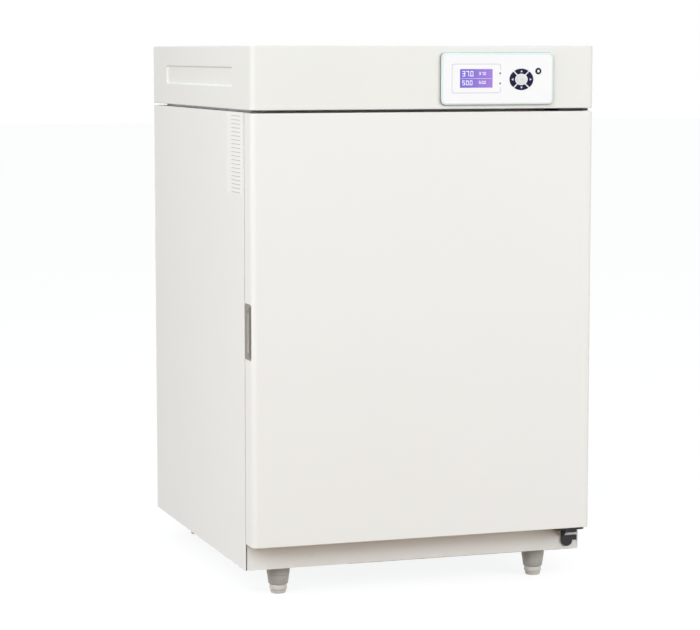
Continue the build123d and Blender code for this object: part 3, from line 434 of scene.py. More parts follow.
# Handle: a flush bezel with a finger slot, its pocket behind, and a darker grip bar in front
gap, sides, inset = handle["gap"], doorLow.x, handle["bodyInset"]
plate = softBlock((sides + handle["sunk"], handle["front"] + gap, cupLow.z + gap),
                  (sides + handle["plate"], handle["back"] - gap, cupHigh.z - gap),
                  handle["corner"], "x", handle["plateEdge"])
bowl = softBlock((sides + handle["bodyFrom"], cupLow.y, cupLow.z + inset),
                 (cupHigh.x, cupHigh.y, cupHigh.z - inset), handle["corner"], "x", handle["plateEdge"])
pocket = loftMesh(softBlock((sides + handle["wall"], handle["pocketFront"], cupLow.z + handle["margin"]),
                            (cupHigh.x - handle["wall"], handle["slotBack"], cupHigh.z - handle["margin"]),
                            handle["slotCorner"], "x", handle["pocketEdge"]))
slotTall = (cupHigh.z - cupLow.z) / 2 - handle["margin"]
slotMiddle = ((handle["slotFront"] + handle["slotBack"]) / 2, handleMiddle[1])
ring = roundedRing((handle["slotBack"] - handle["slotFront"]) / 2, slotTall, handle["slotCorner"])
flare = [(u * handle["flareWide"], v * handle["flareTall"]) for u, v in ring]
slotCut = loftMesh([place(outline, "x", sides + reach * mm, slotMiddle)
                    for outline, reach in zip((flare, flare, ring, ring), handle["slotDepths"])])
cup = carve(loftMesh(plate, bowl), [pocket, slotCut], crossing=True)
for polygon in cup.polygons:
    # What shows inside the slot is the pale inner cup
    spot = polygon.center
    inSlot = (abs(spot.z - slotMiddle[1]) < slotTall + handle["nearby"]
              and spot.y < handle["slotBack"] + handle["nearby"])
    polygon.material_index = int(inSlot and sides + handle["palePast"] < spot.x < cupHigh.x - inset)
addPiece("handleCup", cup, [handlePlastic, pocketPlastic], "outer_door", ["handle_cup"],
         weighted=True)
bar = softBlock((sides, handle["front"] + grip["inset"], cupLow.z + grip["ends"]),
                (sides + grip["deep"], handle["slotFront"] + grip["over"], cupHigh.z - grip["ends"]),
                grip["corner"], "x", grip["edge"])
addPiece("handleGrip", loftMesh(bar), [gripPlastic], "outer_door")


# A seal's section lists how far out, in millimetres, and how deep, as a share of the node's depth
def seal(name, node, profile, radius, finish, body):
    low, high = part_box(node)
    halfX, halfZ = halfSize(low, high)
    rings = [place(roundedRing(halfX + out * mm, halfZ + out * mm, radius + out * mm, 8), "y",
                   low.y + deep * (high.y - low.y), middleOf(low, high)) for out, deep in profile]
    addPiece(name, loftMesh(rings, sharp=40, loop=True), [finish], body, [node])


# Door gasket: a hollow bellows with a magnetic bulb, extruded and welded at its corners
bellows = {"corner": 25 * mm, "profile": [(-0.4, 0.0), (-0.2, 0.28), (-2.2, 0.4), (-2.2, 0.5), (-0.2, 0.62),
                                          (-0.1, 0.85), (-1.2, 1.0), (-14.6, 1.0), (-15.8, 0.85),
                                          (-15.8, 0.62), (-13.8, 0.5), (-13.8, 0.4), (-15.8, 0.28),
                                          (-15.6, 0.0)]}
seal("doorGasket", "door_gasket", bellows["profile"], bellows["corner"], gasketRubber, "outer_door")
bulb = {"corner": 20 * mm, "profile": [
    (-0.6, 1.0), (0, 0.8), (-0.9, 0.3), (-3.2, 0.02), (-7, 0.0), (-9.2, 0.3), (-10, 0.62), (-15.4, 0.66),
    (-16, 0.82), (-15.6, 1.0)]}
seal("glassGasket", "glass_gasket", bulb["profile"], bulb["corner"], silicone, "cabinet")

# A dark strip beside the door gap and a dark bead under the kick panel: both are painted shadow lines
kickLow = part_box("kick_panel")[0]
seamShadowStrip = {"left": -293.6 * mm, "wide": 2.4 * mm, "reach": 3.7 * mm, "lowWide": 0.9 * mm,
            "lowReach": 0.5 * mm, "sunk": 0.2 * mm, "end": 1 * mm, "step": 0.5 * mm, "corner": 0.4 * mm,
            "edge": 0.3 * mm, "lowCorner": 0.15 * mm, "lowEdge": 0.1 * mm}
x, y, z = seamShadowStrip["left"], kickLow.y + seamShadowStrip["sunk"], doorLow.z + seamShadowStrip["end"]
strip = softBlock((x, kickLow.y - seamShadowStrip["reach"], z),
                  (x + seamShadowStrip["wide"], y, doorHigh.z - seamShadowStrip["end"]), seamShadowStrip["corner"], "z",
                  seamShadowStrip["edge"])
tail = softBlock((x + seamShadowStrip["step"], kickLow.y - seamShadowStrip["lowReach"], kickLow.z + seamShadowStrip["step"]),
                 (x + seamShadowStrip["step"] + seamShadowStrip["lowWide"], y, z), seamShadowStrip["lowCorner"], "z",
                 seamShadowStrip["lowEdge"])
addPiece("seamShadowStrip", loftMesh(strip, tail), [seamShadowFinish], "cabinet")
# The bead runs under the shaded part of the kick panel only: a painted shadow line
bead = {"left": -120 * mm, "right": 286 * mm, "tall": 0.9 * mm, "proud": 0.5 * mm, "sunk": 0.2 * mm,
        "back": 0.3 * mm, "sections": 60, "swell": 0.28, "waves": (1.7, 0.63)}
rings = []
for step in range(bead["sections"]):
    x = bead["left"] + (bead["right"] - bead["left"]) * step / (bead["sections"] - 1)
    wave = math.sin(step * bead["waves"][0]) * math.cos(step * bead["waves"][1])
    swell = 1 - bead["swell"] + bead["swell"] * wave
    arc = [math.radians(turn) for turn in (0, 36, 72, 108, 144, 180)]
    rings.append([(x, kickLow.y - bead["proud"] * swell * math.sin(turn),
                   kickLow.z + bead["tall"] * swell * (0.5 - 0.5 * math.cos(turn))) for turn in arc]
                 + [(x, kickLow.y + bead["sunk"], kickLow.z + bead["back"])])
addPiece("kickShadowBead", loftMesh(rings), [kickShadowFinish], "cabinet")
print("outer door made")

headShell = {"sheet": 1.2 * mm, "corner": 9 * mm, "backCorner": 0.2 * mm, "edge": 1.6 * mm,
             "innerEdge": 0.4 * mm, "openLow": 30 * mm, "openBack": 20 * mm}
sidePocket = {"deep": 3 * mm, "front": -218.5 * mm, "back": 215.5 * mm, "low": 834 * mm, "high": 865.5 * mm,
              "slope": 1.73 * mm, "ease": 0.7 * mm, "corner": 4 * mm, "past": 2 * mm}
headLow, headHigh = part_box("head_cover")


def pocketPlug(side, grow):
    front, back, low, high = [sidePocket[key] for key in ("front", "back", "low", "high")]
    halfY, halfZ = (back - front) / 2 + grow, (high - low) / 2 + grow
    centre = ((back + front) / 2, (high + low) / 2)
    ease, slope, deep = sidePocket["ease"], sidePocket["slope"], sidePocket["deep"] + grow
    steps = [(ease * 1.6, -sidePocket["past"]), (ease * 1.6, 0), (ease * 0.6, 0.12 * ease), (0, 0.5 * ease),
             (-slope * 0.8, deep - 0.5 * ease), (-slope - ease * 0.3, deep - 0.12 * ease),
             (-slope - ease, deep)]
    rings = [place(roundedRing(halfY + out, halfZ + out, sidePocket["corner"] + out), "x",
                   side * (headHigh.x - depth), centre) for out, depth in steps]
    return loftMesh(rings)


corners = (headShell["corner"], headShell["backCorner"])
outer = loftMesh(folded(headLow, headHigh, *corners, headShell["edge"]))
hollow = loftMesh(folded((headLow.x, headLow.y, headLow.z - headShell["openLow"]), headHigh, *corners,
                         headShell["innerEdge"], headShell["sheet"], headShell["openBack"]))
inner = carve(hollow, [pocketPlug(side, headShell["sheet"]) for side in (-1, 1)])
shell = carve(outer, [pocketPlug(-1, 0), pocketPlug(1, 0), inner])
# The head takes the greyer coat: painted shade on the cover
addPiece("headShell", shell, [headShadedPaint], "cabinet", ["head_cover"], weighted=True)
print("head made")

# Sections of the cup and the foot inside it: radius and height in millimetres
legCup = {"sides": 40, "profile": [(6.4, 41.3), (6.4, 15.3), (14.2, 15.3), (15.6, 15.7), (16.4, 16.9),
                                   (17.6, 26), (18.2, 31.5), (18.9, 32.3), (19.4, 41), (20, 46.6), (20, 47.6),
                                   (19.4, 47.9), (6.4, 47.9)]}
foot = {"sides": 40, "profile": [(2, 0), (11.2, 0), (12.2, 0.5), (12.7, 1.6), (12.9, 5.4), (13.4, 6.2),
                                 (14.1, 6.6), (14.5, 7.4), (14.5, 13.6), (14.1, 14.6), (13.1, 15), (6, 15),
                                 (6, 38.2), (5.2, 39), (1, 39)]}
cups = []
for name in ("foot_1", "foot_2", "foot_3", "foot_4"):
    low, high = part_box(name)
    middle = middleOf(low, high, "xy")
    cupRings, footRings = [turned([(radius * mm, height * mm) for radius, height in piece["profile"]], "z",
                                  middle, piece["sides"]) for piece in (legCup, foot)]
    cups.append(cupRings)
    body = next(b for b, members in frame["record"]["behaviour"]["bodies"].items() if name in members)
    addPiece("levellingFoot_" + name[-1], loftMesh(footRings), [footNylon], body, [name])
addPiece("legCups", loftMesh(*cups, loop=True), [greyPlastic], "cabinet", ["leg_cups"])
print("legs made")

bezel = {"corner": 8 * mm, "lip": 3 * mm, "edge": 3.5 * mm, "filmThick": 0.8 * mm, "keyGap": 0.3 * mm,
         "past": 1 * mm, "sideTilt": 0.62, "crease": 50}
bezelLow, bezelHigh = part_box("panel_bezel")
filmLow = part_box("panel_overlay")[0]
panelCentre, (halfX, halfZ) = middleOf(bezelLow, bezelHigh), halfSize(bezelLow, bezelHigh)
keyRing = {"halfWide": 20.7 * mm, "halfTall": 17.3 * mm, "well": 1.015, "inner": 0.55, "slot": 2.4 * mm,
           "centre": 0.42, "roundRadius": 5.2 * mm, "ease": 0.45 * mm, "sunk": 0.12 * mm, "points": 44,
           "sweep": 60, "sides": 40, "wellSides": 48}
rightLow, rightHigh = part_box("key_right")
ringCentre = ((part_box("key_left")[0].x + rightHigh.x) / 2,
              (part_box("key_down")[0].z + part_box("key_up")[1].z) / 2)
roundLow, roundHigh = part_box("key_round")
roundCentre = middleOf(roundLow, roundHigh)
steps = [(0, bezelHigh.y)] + [(-into, bezelLow.y + deep) for into, deep in reversed(eased(bezel["lip"], 5))]
plate = loftMesh([place(roundedRing(halfX + out, halfZ + out, bezel["corner"] + out, 8), "y", y, panelCentre)
                  for out, y in steps], sharp=bezel["crease"])
front, through = bezelLow.y - bezel["past"], bezelHigh.y + bezel["past"]
ring = roundedRing(halfX - bezel["edge"], halfZ - bezel["edge"], bezel["corner"] - bezel["edge"] / 2, 8)
oval = ovalRing(keyRing["halfWide"] * keyRing["well"], keyRing["halfTall"] * keyRing["well"],
                keyRing["wellSides"])
well = keyRing["roundRadius"] + bezel["keyGap"]
cuts = [loftMesh([place(ring, "y", y, panelCentre) for y in (front, bezelLow.y + bezel["filmThick"])]),
        loftMesh([place(oval, "y", y, ringCentre) for y in (front, through)]),
        loftMesh(turned([(well, front), (well, through)], "y", roundCentre))]
build = bmesh.new()
addBlock(build, (screenLow.x, front, screenLow.z), (screenHigh.x, screenHigh.y, screenHigh.z))
cuts.append(toMesh(build))
plate = carve(plate, cuts, bezel["crease"])
for polygon in plate.polygons:
    # Sideways faces of the bezel's rim get the grey: painted shade along its sides
    onRim = (abs(polygon.center.x - panelCentre[0]) > halfX - bezel["edge"]
             or abs(polygon.center.z - panelCentre[1]) > halfZ - bezel["edge"])
    polygon.material_index = int(abs(polygon.normal.y) < bezel["sideTilt"] and onRim)
# The second finish is the painted shade on the bezel's sides
addPiece("panelBezel", plate, [acrylic, bezelSideShade], "cabinet", ["panel_bezel"],
         weighted=True)

# Printed frame round the display, broken beside the lamps
printed = {"left": 41.8 * mm, "right": 127.4 * mm, "low": 823 * mm, "high": 870.5 * mm, "line": 0.9 * mm,
           "corner": 4 * mm, "proud": 0.04 * mm, "sunk": 0.02 * mm, "breakLow": 833 * mm,
           "breakHigh": 860.5 * mm, "rightEdge": 1.1 * mm, "longest": 10 * mm}
centre = ((printed["left"] + printed["right"]) / 2, (printed["low"] + printed["high"]) / 2)
wide, tall = (printed["right"] - printed["left"]) / 2, (printed["high"] - printed["low"]) / 2
rings = [roundedRing(wide + out, tall + out, printed["corner"] + out) for out in (0, -printed["line"])]
rings = [[(centre[0] + u, centre[1] + v) for u, v in ring] for ring in rings]
shapes, depths = [], (filmLow.y - printed["proud"], filmLow.y + printed["sunk"])
for at in range(len(rings[0])):
    after = (at + 1) % len(rings[0])
    span = [rings[0][at], rings[0][after], rings[1][after], rings[1][at]]
    low, high = sorted((span[0][1], span[1][1]))
    spans = [span]
    if all(u > centre[0] + wide - printed["rightEdge"] for u, v in span) and high - low > printed["longest"]:
        u0, u1 = span[3][0], span[0][0]
        spans = [[(u1, z0), (u1, z1), (u0, z1), (u0, z0)]
                 for z0, z1 in ((low, printed["breakLow"]), (printed["breakHigh"], high))]
    shapes += [[[(u, y, v) for u, v in span] for y in depths] for span in spans]
addPiece("filmPrint", loftMesh(*shapes), [ink], "cabinet")

# Seven-segment digits on the display
strokes = {"0": "abcdef", "1": "bc", "2": "abged", "3": "abgcd", "4": "fgbc", "5": "afgcd", "6": "afgedc",
           "7": "abc", "8": "abcdefg", "9": "abcdfg"}
segments = {"proud": 0.05 * mm, "sunk": 0.02 * mm, "gap": 0.12, "between": 1.7}


def addBar(build, x0, z0, x1, z1):
    addBlock(build, (screenLow.x + x0 * mm, screenLow.y - segments["proud"], screenLow.z + z0 * mm),
             (screenLow.x + x1 * mm, screenLow.y + segments["sunk"], screenLow.z + z1 * mm))


def addDigit(build, digit, left, low, wide, tall, thick):
    half, gap = tall / 2, thick * segments["gap"]
    spans = {"a": (gap, tall - thick, wide - gap, tall),
             "g": (gap, half - thick / 2, wide - gap, half + thick / 2), "d": (gap, 0, wide - gap, thick),
             "f": (0, half + gap, thick, tall - gap), "e": (0, gap, thick, half - gap),
             "b": (wide - thick, half + gap, wide, tall - gap), "c": (wide - thick, gap, wide, half - gap)}
    for name in strokes[digit]:
        x0, z0, x1, z1 = spans[name]
        addBar(build, left + x0, low + z0, left + x1, low + z1)


# Digits and their left edges, low, width, height and stroke, in millimetres from the display's corner
readings = [({"37": 4.0, "0": 18.2}, 18.4, 5.0, 8.6, 1.15), ({"50": 4.0, "0": 17.0}, 4.2, 4.6, 7.6, 1.05),
            ({"37": 33.0, "0": 41.8}, 20.6, 3.0, 4.8, 0.7), ({"50": 33.0, "0": 41.8}, 6.2, 3.0, 4.8, 0.7)]
dots = [(16.9, 18.4, 1.1), (15.9, 4.2, 1.0), (40.8, 20.6, 0.7), (40.8, 6.2, 0.7)]
rule = {"margin": 2, "low": 14.6, "high": 15.0}
build = bmesh.new()
for texts, low, wide, tall, thick in readings:
    for text, left in texts.items():
        for at, digit in enumerate(text):
            addDigit(build, digit, left + at * (wide + segments["between"]), low, wide, tall, thick)
for x, z, side in dots:
    addBar(build, x, z, x + side, z + side)
addBar(build, rule["margin"], rule["low"], (screenHigh.x - screenLow.x) / mm - rule["margin"], rule["high"])
addPiece("displayDigits", toMesh(build), [segment], "cabinet")


# Keys: four quarters of an oval ring, a centre oval and a round key, each with an eased face
def quarterOutline(turn):
    cosT, sinT = math.cos(turn), math.sin(turn)
    apex = (keyRing["slot"] / 2) * math.sqrt(2)
    points = []
    for share, order in ((1, 1), (keyRing["inner"], -1)):
        arc = []
        for step in range(-keyRing["sweep"], keyRing["sweep"] + 1):
            t = turn + math.radians(step)
            x, z = keyRing["halfWide"] * share * math.cos(t), keyRing["halfTall"] * share * math.sin(t)
            u, v = x * cosT + z * sinT, -x * sinT + z * cosT
            if u - abs(v) >= apex:
                arc.append((x, z))
        points += arc[::order]
    return points


def resample(points, count):
    lengths = [0]
    for a, b in zip(points, points[1:] + points[:1]):
        lengths.append(lengths[-1] + math.dist(a, b))
    closed, result, at = points + points[:1], [], 0
    for k in range(count):
        target = lengths[-1] * k / count
        while lengths[at + 1] < target:
            at += 1
        share = (target - lengths[at]) / max(lengths[at + 1] - lengths[at], 1e-12)
        result.append(tuple(p + (q - p) * share for p, q in zip(closed[at], closed[at + 1])))
    return result


def shrink(points, inset):
    # Moves an outline inwards by its own edge normals
    result = []
    for before, here, after in zip(points[-1:] + points[:-1], points, points[1:] + points[:1]):
        dx, dz = after[0] - before[0], after[1] - before[1]
        size = math.hypot(dx, dz) or 1
        result.append((here[0] - dz / size * inset, here[1] + dx / size * inset))
    return result


keyFront = rightLow.y + keyRing["sunk"]


def addKey(build, outline, centre, back):
    rings = [place(outline, "y", back, centre)]
    rings += [place(shrink(outline, into), "y", keyFront + deep, centre)
              for into, deep in reversed(eased(keyRing["ease"]))]
    addLoft(build, rings)


# Marks stand just proud of a key: arrows on the quarters, bars on the centre, a disc on the round key
glyphs = {"right": [(-0.8, 1), (-0.8, -1), (0.9, 0)], "up": [(-1, -0.8), (1, -0.8), (0, 0.9)],
          "left": [(0.8, -1), (0.8, 1), (-0.9, 0)], "down": [(1, 0.8), (-1, 0.8), (0, -0.9)]}
mark = {"half": 2.1 * mm, "sunk": 0.1 * mm, "proud": 0.06 * mm, "barSunk": 0.05 * mm, "barHalf": 0.3,
        "bars": [(0.9, 3.6), (-0.9, 2.8)], "disc": 2.3 * mm, "discFace": 2.0 * mm, "discProud": 0.1 * mm}
for quarter, (name, glyph) in enumerate(glyphs.items()):
    turn = math.radians(90 * quarter)
    outline = resample(quarterOutline(turn), keyRing["points"])
    area = sum(a[0] * b[1] - b[0] * a[1] for a, b in zip(outline, outline[1:] + outline[:1]))
    if area < 0:
        outline.reverse()
    build = bmesh.new()
    addKey(build, outline, ringCentre, rightHigh.y)
    middle = (1 + keyRing["inner"]) / 2
    spot = (ringCentre[0] + keyRing["halfWide"] * middle * math.cos(turn),
            ringCentre[1] + keyRing["halfTall"] * middle * math.sin(turn))
    arrow = [(u * mark["half"], v * mark["half"]) for u, v in glyph]
    addLoft(build, [place(arrow, "y", keyFront + deep, spot) for deep in (mark["sunk"], -mark["proud"])],
            slot=1)
    addPiece(name + "Key", toMesh(build), [navyKey, glyphInk], name + "_key", ["key_" + name])
build = bmesh.new()
oval = ovalRing(keyRing["halfWide"] * keyRing["centre"], keyRing["halfTall"] * keyRing["centre"],
                keyRing["sides"])
addKey(build, oval, ringCentre, rightHigh.y)
(x, z), half = ringCentre, mark["barHalf"]
for row, reach in mark["bars"]:
    addBlock(build, (x - reach * mm, keyFront - mark["proud"], z + (row - half) * mm),
             (x + reach * mm, keyFront + mark["barSunk"], z + (row + half) * mm), slot=1)
addPiece("centreKey", toMesh(build), [whiteKey, ink], "centre_key", ["key_centre"])
build = bmesh.new()
oval = ovalRing(keyRing["roundRadius"], keyRing["roundRadius"], keyRing["sides"])
addKey(build, oval, roundCentre, roundHigh.y)
disc = [(mark["disc"], keyFront + mark["sunk"]), (mark["disc"], keyFront - mark["proud"]),
        (mark["discFace"], keyFront - mark["discProud"])]
addLoft(build, turned(disc, "y", roundCentre), slot=1)
addPiece("roundKey", toMesh(build), [navyKey, whiteKey], "round_key", ["key_round"])
print("control panel made")


def newTree(name, *lengths):
    tree = bpy.data.node_groups.new(name, "GeometryNodeTree")
    tree.interface.new_socket(name="Geometry", in_out="OUTPUT", socket_type="NodeSocketGeometry")
    kinds = {"Geometry": "Geometry", **dict.fromkeys(lengths, "Float"), "Finish": "Material"}
    for label, kind in kinds.items():
        tree.interface.new_socket(name=label, in_out="INPUT", socket_type="NodeSocket" + kind)
    add = partial(addNode, tree)
    return tree, add, add("NodeGroupInput").outputs


def spreadOnPoints(add, given, shape, turns):
    # Puts one copy on each point, makes the copies real and gives them their finish
    spread = add("GeometryNodeInstanceOnPoints", {"Points": given["Geometry"], "Instance": shape, **turns})
    real = add("GeometryNodeRealizeInstances", {0: spread})
    finished = add("GeometryNodeSetMaterial", {"Geometry": real, "Material": given["Finish"]})
    add("NodeGroupOutput", {0: finished})


screwShape = {"sides": 20, "rows": 3, "roundness": 3.0, "taper": -0.28, "recessReach": 1.1, "recessLift": 0.6,
              "seat": 0.48}


def screwTree():
    # A pan head: a short cylinder domed towards its top, with a cross recess cut into it
    tree, add, given = newTree("panHeadScrews", "Head Radius", "Head Height", "Recess Width")
    radius, height, recess = given["Head Radius"], given["Head Height"], given["Recess Width"]
    head = add("GeometryNodeMeshCylinder", {"Vertices": screwShape["sides"], "Radius": radius,
                                            "Side Segments": screwShape["rows"], "Depth": height},
               fill_type="NGON")
    where = add("GeometryNodeInputPosition")
    axes = add("ShaderNodeSeparateXYZ", {0: where})
    share = add("ShaderNodeMath", {0: axes.outputs[2], 1: height}, operation="DIVIDE")
    lifted = add("ShaderNodeMath", {0: share, 1: 0.5}, operation="ADD")
    curve = add("ShaderNodeMath", {0: lifted, 1: screwShape["roundness"]}, operation="POWER")
    taper = add("ShaderNodeMath", {0: curve, 1: screwShape["taper"], 2: 1.0}, operation="MULTIPLY_ADD")
    shape = add("ShaderNodeCombineXYZ", {0: taper, 1: taper, 2: 1.0})
    scaled = add("ShaderNodeVectorMath", {0: where, 1: shape}, operation="MULTIPLY")
    domed = add("GeometryNodeSetPosition", {"Geometry": head, "Position": scaled})
    reach = add("ShaderNodeMath", {0: radius, 1: screwShape["recessReach"]}, operation="MULTIPLY")
    cross = add("GeometryNodeMeshBoolean", operation="UNION", solver="EXACT")
    for wide, long in ((reach, recess), (recess, reach)):
        size = add("ShaderNodeCombineXYZ", {0: wide, 1: long, 2: height})
        bar = add("GeometryNodeMeshCube", {"Size": size})
        tree.links.new(bar.outputs[0], cross.inputs[1])
    rise = add("ShaderNodeCombineXYZ", {2: height})
    lift = add("ShaderNodeVectorMath", {0: rise, "Scale": screwShape["recessLift"]}, operation="SCALE")
    raised = add("GeometryNodeTransform", {"Geometry": cross, "Translation": lift})
    cut = add("GeometryNodeMeshBoolean", {0: domed, 1: raised}, operation="DIFFERENCE", solver="EXACT")
    seat = add("ShaderNodeVectorMath", {0: rise, "Scale": screwShape["seat"]}, operation="SCALE")
    seated = add("GeometryNodeTransform", {"Geometry": cut, "Translation": seat})
    outward = add("GeometryNodeInputNamedAttribute", {"Name": "outward"}, data_type="FLOAT_VECTOR")
    turn = add("FunctionNodeAlignRotationToVector", {"Vector": outward}, axis="Z")
    spreadOnPoints(add, given, seated, {"Rotation": turn})
    return tree


# The hood falls off from these shares of its width and height
hoodShape = {"columns": 41, "rows": 9, "endsFrom": 0.44, "crest": -0.35}


def hoodTree():
    # One pressed louvre hood on a grid: it swells from its top edge and stays open below
    tree, add, given = newTree("louvreHoods", "Width", "Height", "Depth")
    sheet = add("GeometryNodeMeshGrid", {"Size X": given["Width"], "Size Y": given["Height"],
                                         "Vertices X": hoodShape["columns"], "Vertices Y": hoodShape["rows"]})
    axes = add("ShaderNodeSeparateXYZ", {0: add("GeometryNodeInputPosition")})
    along = add("ShaderNodeMath", {0: axes, 1: given["Width"]}, operation="DIVIDE")
    ends = add("ShaderNodeMath", {0: along}, operation="ABSOLUTE")
    endFall = add("ShaderNodeMapRange", {"Value": ends, 1: 0.5, 2: hoodShape["endsFrom"], 3: 0.0, 4: 1.0},
                  interpolation_type="SMOOTHSTEP")
    up = add("ShaderNodeMath", {0: axes.outputs[1], 1: given["Height"]}, operation="DIVIDE")
    swell = add("ShaderNodeMapRange", {"Value": up, 1: 0.5, 2: hoodShape["crest"], 3: 0.0, 4: 1.0},
                interpolation_type="SMOOTHSTEP")
    both = add("ShaderNodeMath", {0: endFall, 1: swell}, operation="MULTIPLY")
    deep = add("ShaderNodeMath", {0: both, 1: given["Depth"]}, operation="MULTIPLY")
    offset = add("ShaderNodeCombineXYZ", {2: deep})
    pressed = add("GeometryNodeSetPosition", {"Geometry": sheet, "Offset": offset})
    upright = add("GeometryNodeTransform", {"Geometry": pressed, "Rotation": (math.pi / 2, 0, math.pi)})
    spreadOnPoints(add, given, upright, {})
    return tree


def growOnPoints(tree, points, values, thickness=0):
    # Points carry the direction that each copy faces
    mesh = bpy.data.meshes.new("spots")
    mesh.from_pydata([spot for spot, _ in points], [], [])
    outward = mesh.attributes.new("outward", "FLOAT_VECTOR", "POINT")
    for at, (_, direction) in enumerate(points):
        outward.data[at].vector = direction
    carrier = addObject("spots", mesh)
    shape = carrier.modifiers.new("grow", "NODES")
    shape.node_group = tree
    for socket in tree.interface.items_tree:
        if socket.in_out == "INPUT" and socket.name in values:
            shape[socket.identifier] = values[socket.name]
    if thickness:
        wall = carrier.modifiers.new("wall", "SOLIDIFY")
        wall.thickness, wall.offset = thickness, 0
    grown = finalMesh(carrier)
    bpy.data.objects.remove(carrier)
    return smooth(grown)


screws, hoods = screwTree(), hoodTree()
panelScrew = {"Head Radius": 3.6 * mm, "Head Height": 2.2 * mm, "Recess Width": 0.9 * mm,
              "Finish": zinc["material"]}
screwInset = {"rear": 12 * mm, "ductSide": 9 * mm, "ductEnd": 40 * mm}
rearLow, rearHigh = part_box("rear_panel")
headRearLow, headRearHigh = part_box("head_rear")
ductLow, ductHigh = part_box("duct_panel")
inset, rearMiddle = screwInset["rear"], (rearLow.z + rearHigh.z) / 2
spots = []
for x in (rearLow.x + inset, 0, rearHigh.x - inset):
    for z in (rearLow.z + inset, rearMiddle, rearHigh.z - inset):
        if x or z != rearMiddle:
            spots.append(((x, rearHigh.y, z), (0, 1, 0)))
for x in (headRearLow.x + inset, 0, headRearHigh.x - inset):
    spots += [((x, headRearHigh.y, z), (0, 1, 0)) for z in (headRearLow.z + inset, headRearHigh.z - inset)]
for x in (ductLow.x + screwInset["ductSide"], ductHigh.x - screwInset["ductSide"]):
    spots += [((x, ductLow.y, z), (0, -1, 0)) for z in (
        ductLow.z + screwInset["ductEnd"], (ductLow.z + ductHigh.z) / 2, ductHigh.z - screwInset["ductEnd"])]
addPiece("panelScrews", growOnPoints(screws, spots, panelScrew), [zinc], "cabinet")

# The kick panel's one screw is painted over
kickScrew = {"Head Radius": 1.9 * mm, "Head Height": 1.1 * mm, "Recess Width": 0.7 * mm,
             "Finish": paint["material"], "spot": (-180.4 * mm, kickLow.y, 66.1 * mm)}
addPiece("kickScrew", growOnPoints(screws, [(kickScrew["spot"], (0, -1, 0))], kickScrew), [paint], "cabinet")

hood = {"Width": 190 * mm, "Height": 11 * mm, "Depth": 4.2 * mm, "Finish": paint["material"],
        "sheet": 0.8 * mm, "sunk": 0.4 * mm, "pitch": 14 * mm, "rearLow": 144.6 * mm, "headLow": 830.1 * mm,
        "headMiddle": -147.5 * mm}
louvres = [((0, rearHigh.y - hood["sunk"], hood["rearLow"] + row * hood["pitch"]), (0, 1, 0))
           for row in range(9)]
louvres += [((hood["headMiddle"], headRearHigh.y - hood["sunk"], hood["headLow"] + row * hood["pitch"]),
             (0, 1, 0)) for row in range(4)]
addPiece("louvreHoods", growOnPoints(hoods, louvres, hood, hood["sheet"]), [paint], "cabinet")
print("screws and louvres made")

studio = {"floorTone": "FFFFFF", "bounceTone": "8A6F54", "floorGlow": 0.75, "glowStrength": 1.1,
          "horizon": 0.27, "zenith": 0.72, "zenithFrom": 0.8, "tone": (0.945, 0.975, 1.0),
          "aim": (0, -0.1, 0.45), "floorX": (-14, 14), "floorY": (-9, 26)}
lamps = {"keyLamp": {"spot": (-2.6, -3.0, 2.5), "power": 74, "size": 2.4, "mirrored": True},
         "sideLamp": {"spot": (-3.4, -0.9, 1.0), "power": 38, "size": 1.8, "mirrored": True},
         "fillLamp": {"spot": (2.9, -3.3, 1.3), "power": 88, "size": 2.4, "mirrored": False}}
white = (1, 1, 1, 1)


def seenRays(add):
    path = add("ShaderNodeLightPath").outputs
    first = add("ShaderNodeMath", {0: path["Is Camera Ray"], 1: path["Is Glossy Ray"]}, operation="MAXIMUM")
    return add("ShaderNodeMath", {0: first, 1: path["Is Transmission Ray"]}, operation="MAXIMUM")


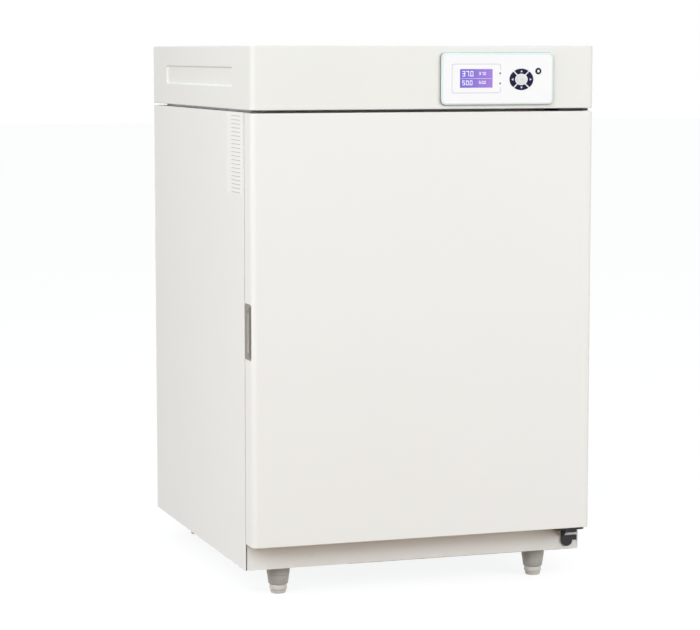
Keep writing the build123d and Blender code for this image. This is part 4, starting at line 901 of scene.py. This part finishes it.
# The floor is white where it is seen and keeps the shadow; the light that it throws back is warmer
(x0, x1), (y0, y1) = studio["floorX"], studio["floorY"]
mesh = bpy.data.meshes.new("floor")
mesh.from_pydata([(x0, y0, 0), (x1, y0, 0), (x1, y1, 0), (x0, y1, 0)], [], [(0, 1, 2, 3)])
floorMaterial = bpy.data.materials.new("studioFloor")
add = emptyTree(floorMaterial)
bounce = add("ShaderNodeBsdfDiffuse", {"Color": toLinear(studio["bounceTone"])})
matt = add("ShaderNodeBsdfDiffuse", {"Color": toLinear(studio["floorTone"])})
glow = add("ShaderNodeEmission", {"Color": white, "Strength": studio["glowStrength"]})
shown = add("ShaderNodeMixShader", {0: studio["floorGlow"], 1: matt, 2: glow})
both = add("ShaderNodeMixShader", {0: seenRays(add), 1: bounce, 2: shown})
add("ShaderNodeOutputMaterial", {"Surface": both})
mesh.materials.append(floorMaterial)
addObject("floor", mesh)

world = bpy.data.worlds.new("studio")
scene.world = world
add = emptyTree(world)
direction = add("ShaderNodeTexCoord").outputs["Generated"]
height = add("ShaderNodeSeparateXYZ", {0: direction}).outputs[2]
strength = add("ShaderNodeMapRange", {"Value": height, 1: 0.0, 2: studio["zenithFrom"], 3: studio["horizon"],
                                      4: studio["zenith"]})
soft = add("ShaderNodeBackground", {"Color": (*studio["tone"], 1), "Strength": strength})
backdrop = add("ShaderNodeBackground", {"Color": white, "Strength": 1.0})
both = add("ShaderNodeMixShader", {0: seenRays(add), 1: soft, 2: backdrop})
add("ShaderNodeOutputWorld", {"Surface": both})

for name, size in lamps.items():
    lamp = bpy.data.lights.new(name, "AREA")
    lamp.energy, lamp.size, lamp.color = size["power"], size["size"], studio["tone"]
    holder = addObject(name, lamp)
    holder.location = size["spot"]
    holder.visible_glossy = size["mirrored"]  # the low lamp would glare off the top, seen from behind
    holder.rotation_euler = (Vector(studio["aim"]) - Vector(size["spot"])).to_track_quat("-Z", "Y").to_euler()

view = {"sensor": 36, "lens": 124.197, "near": 0.05, "far": 100, "eye": (-1.35096, -4.0103, 0.8883),
        "towards": (0.31295, 0.94362, -0.10794)}
camera = bpy.data.cameras.new("camera")
camera.sensor_width, camera.lens = view["sensor"], view["lens"]
camera.clip_start, camera.clip_end = view["near"], view["far"]
eye = addObject("camera", camera)
eye.location = view["eye"]
eye.rotation_euler = Vector(view["towards"]).to_track_quat("-Z", "Y").to_euler()
scene.camera = eye
scene.view_settings.view_transform = "Standard"
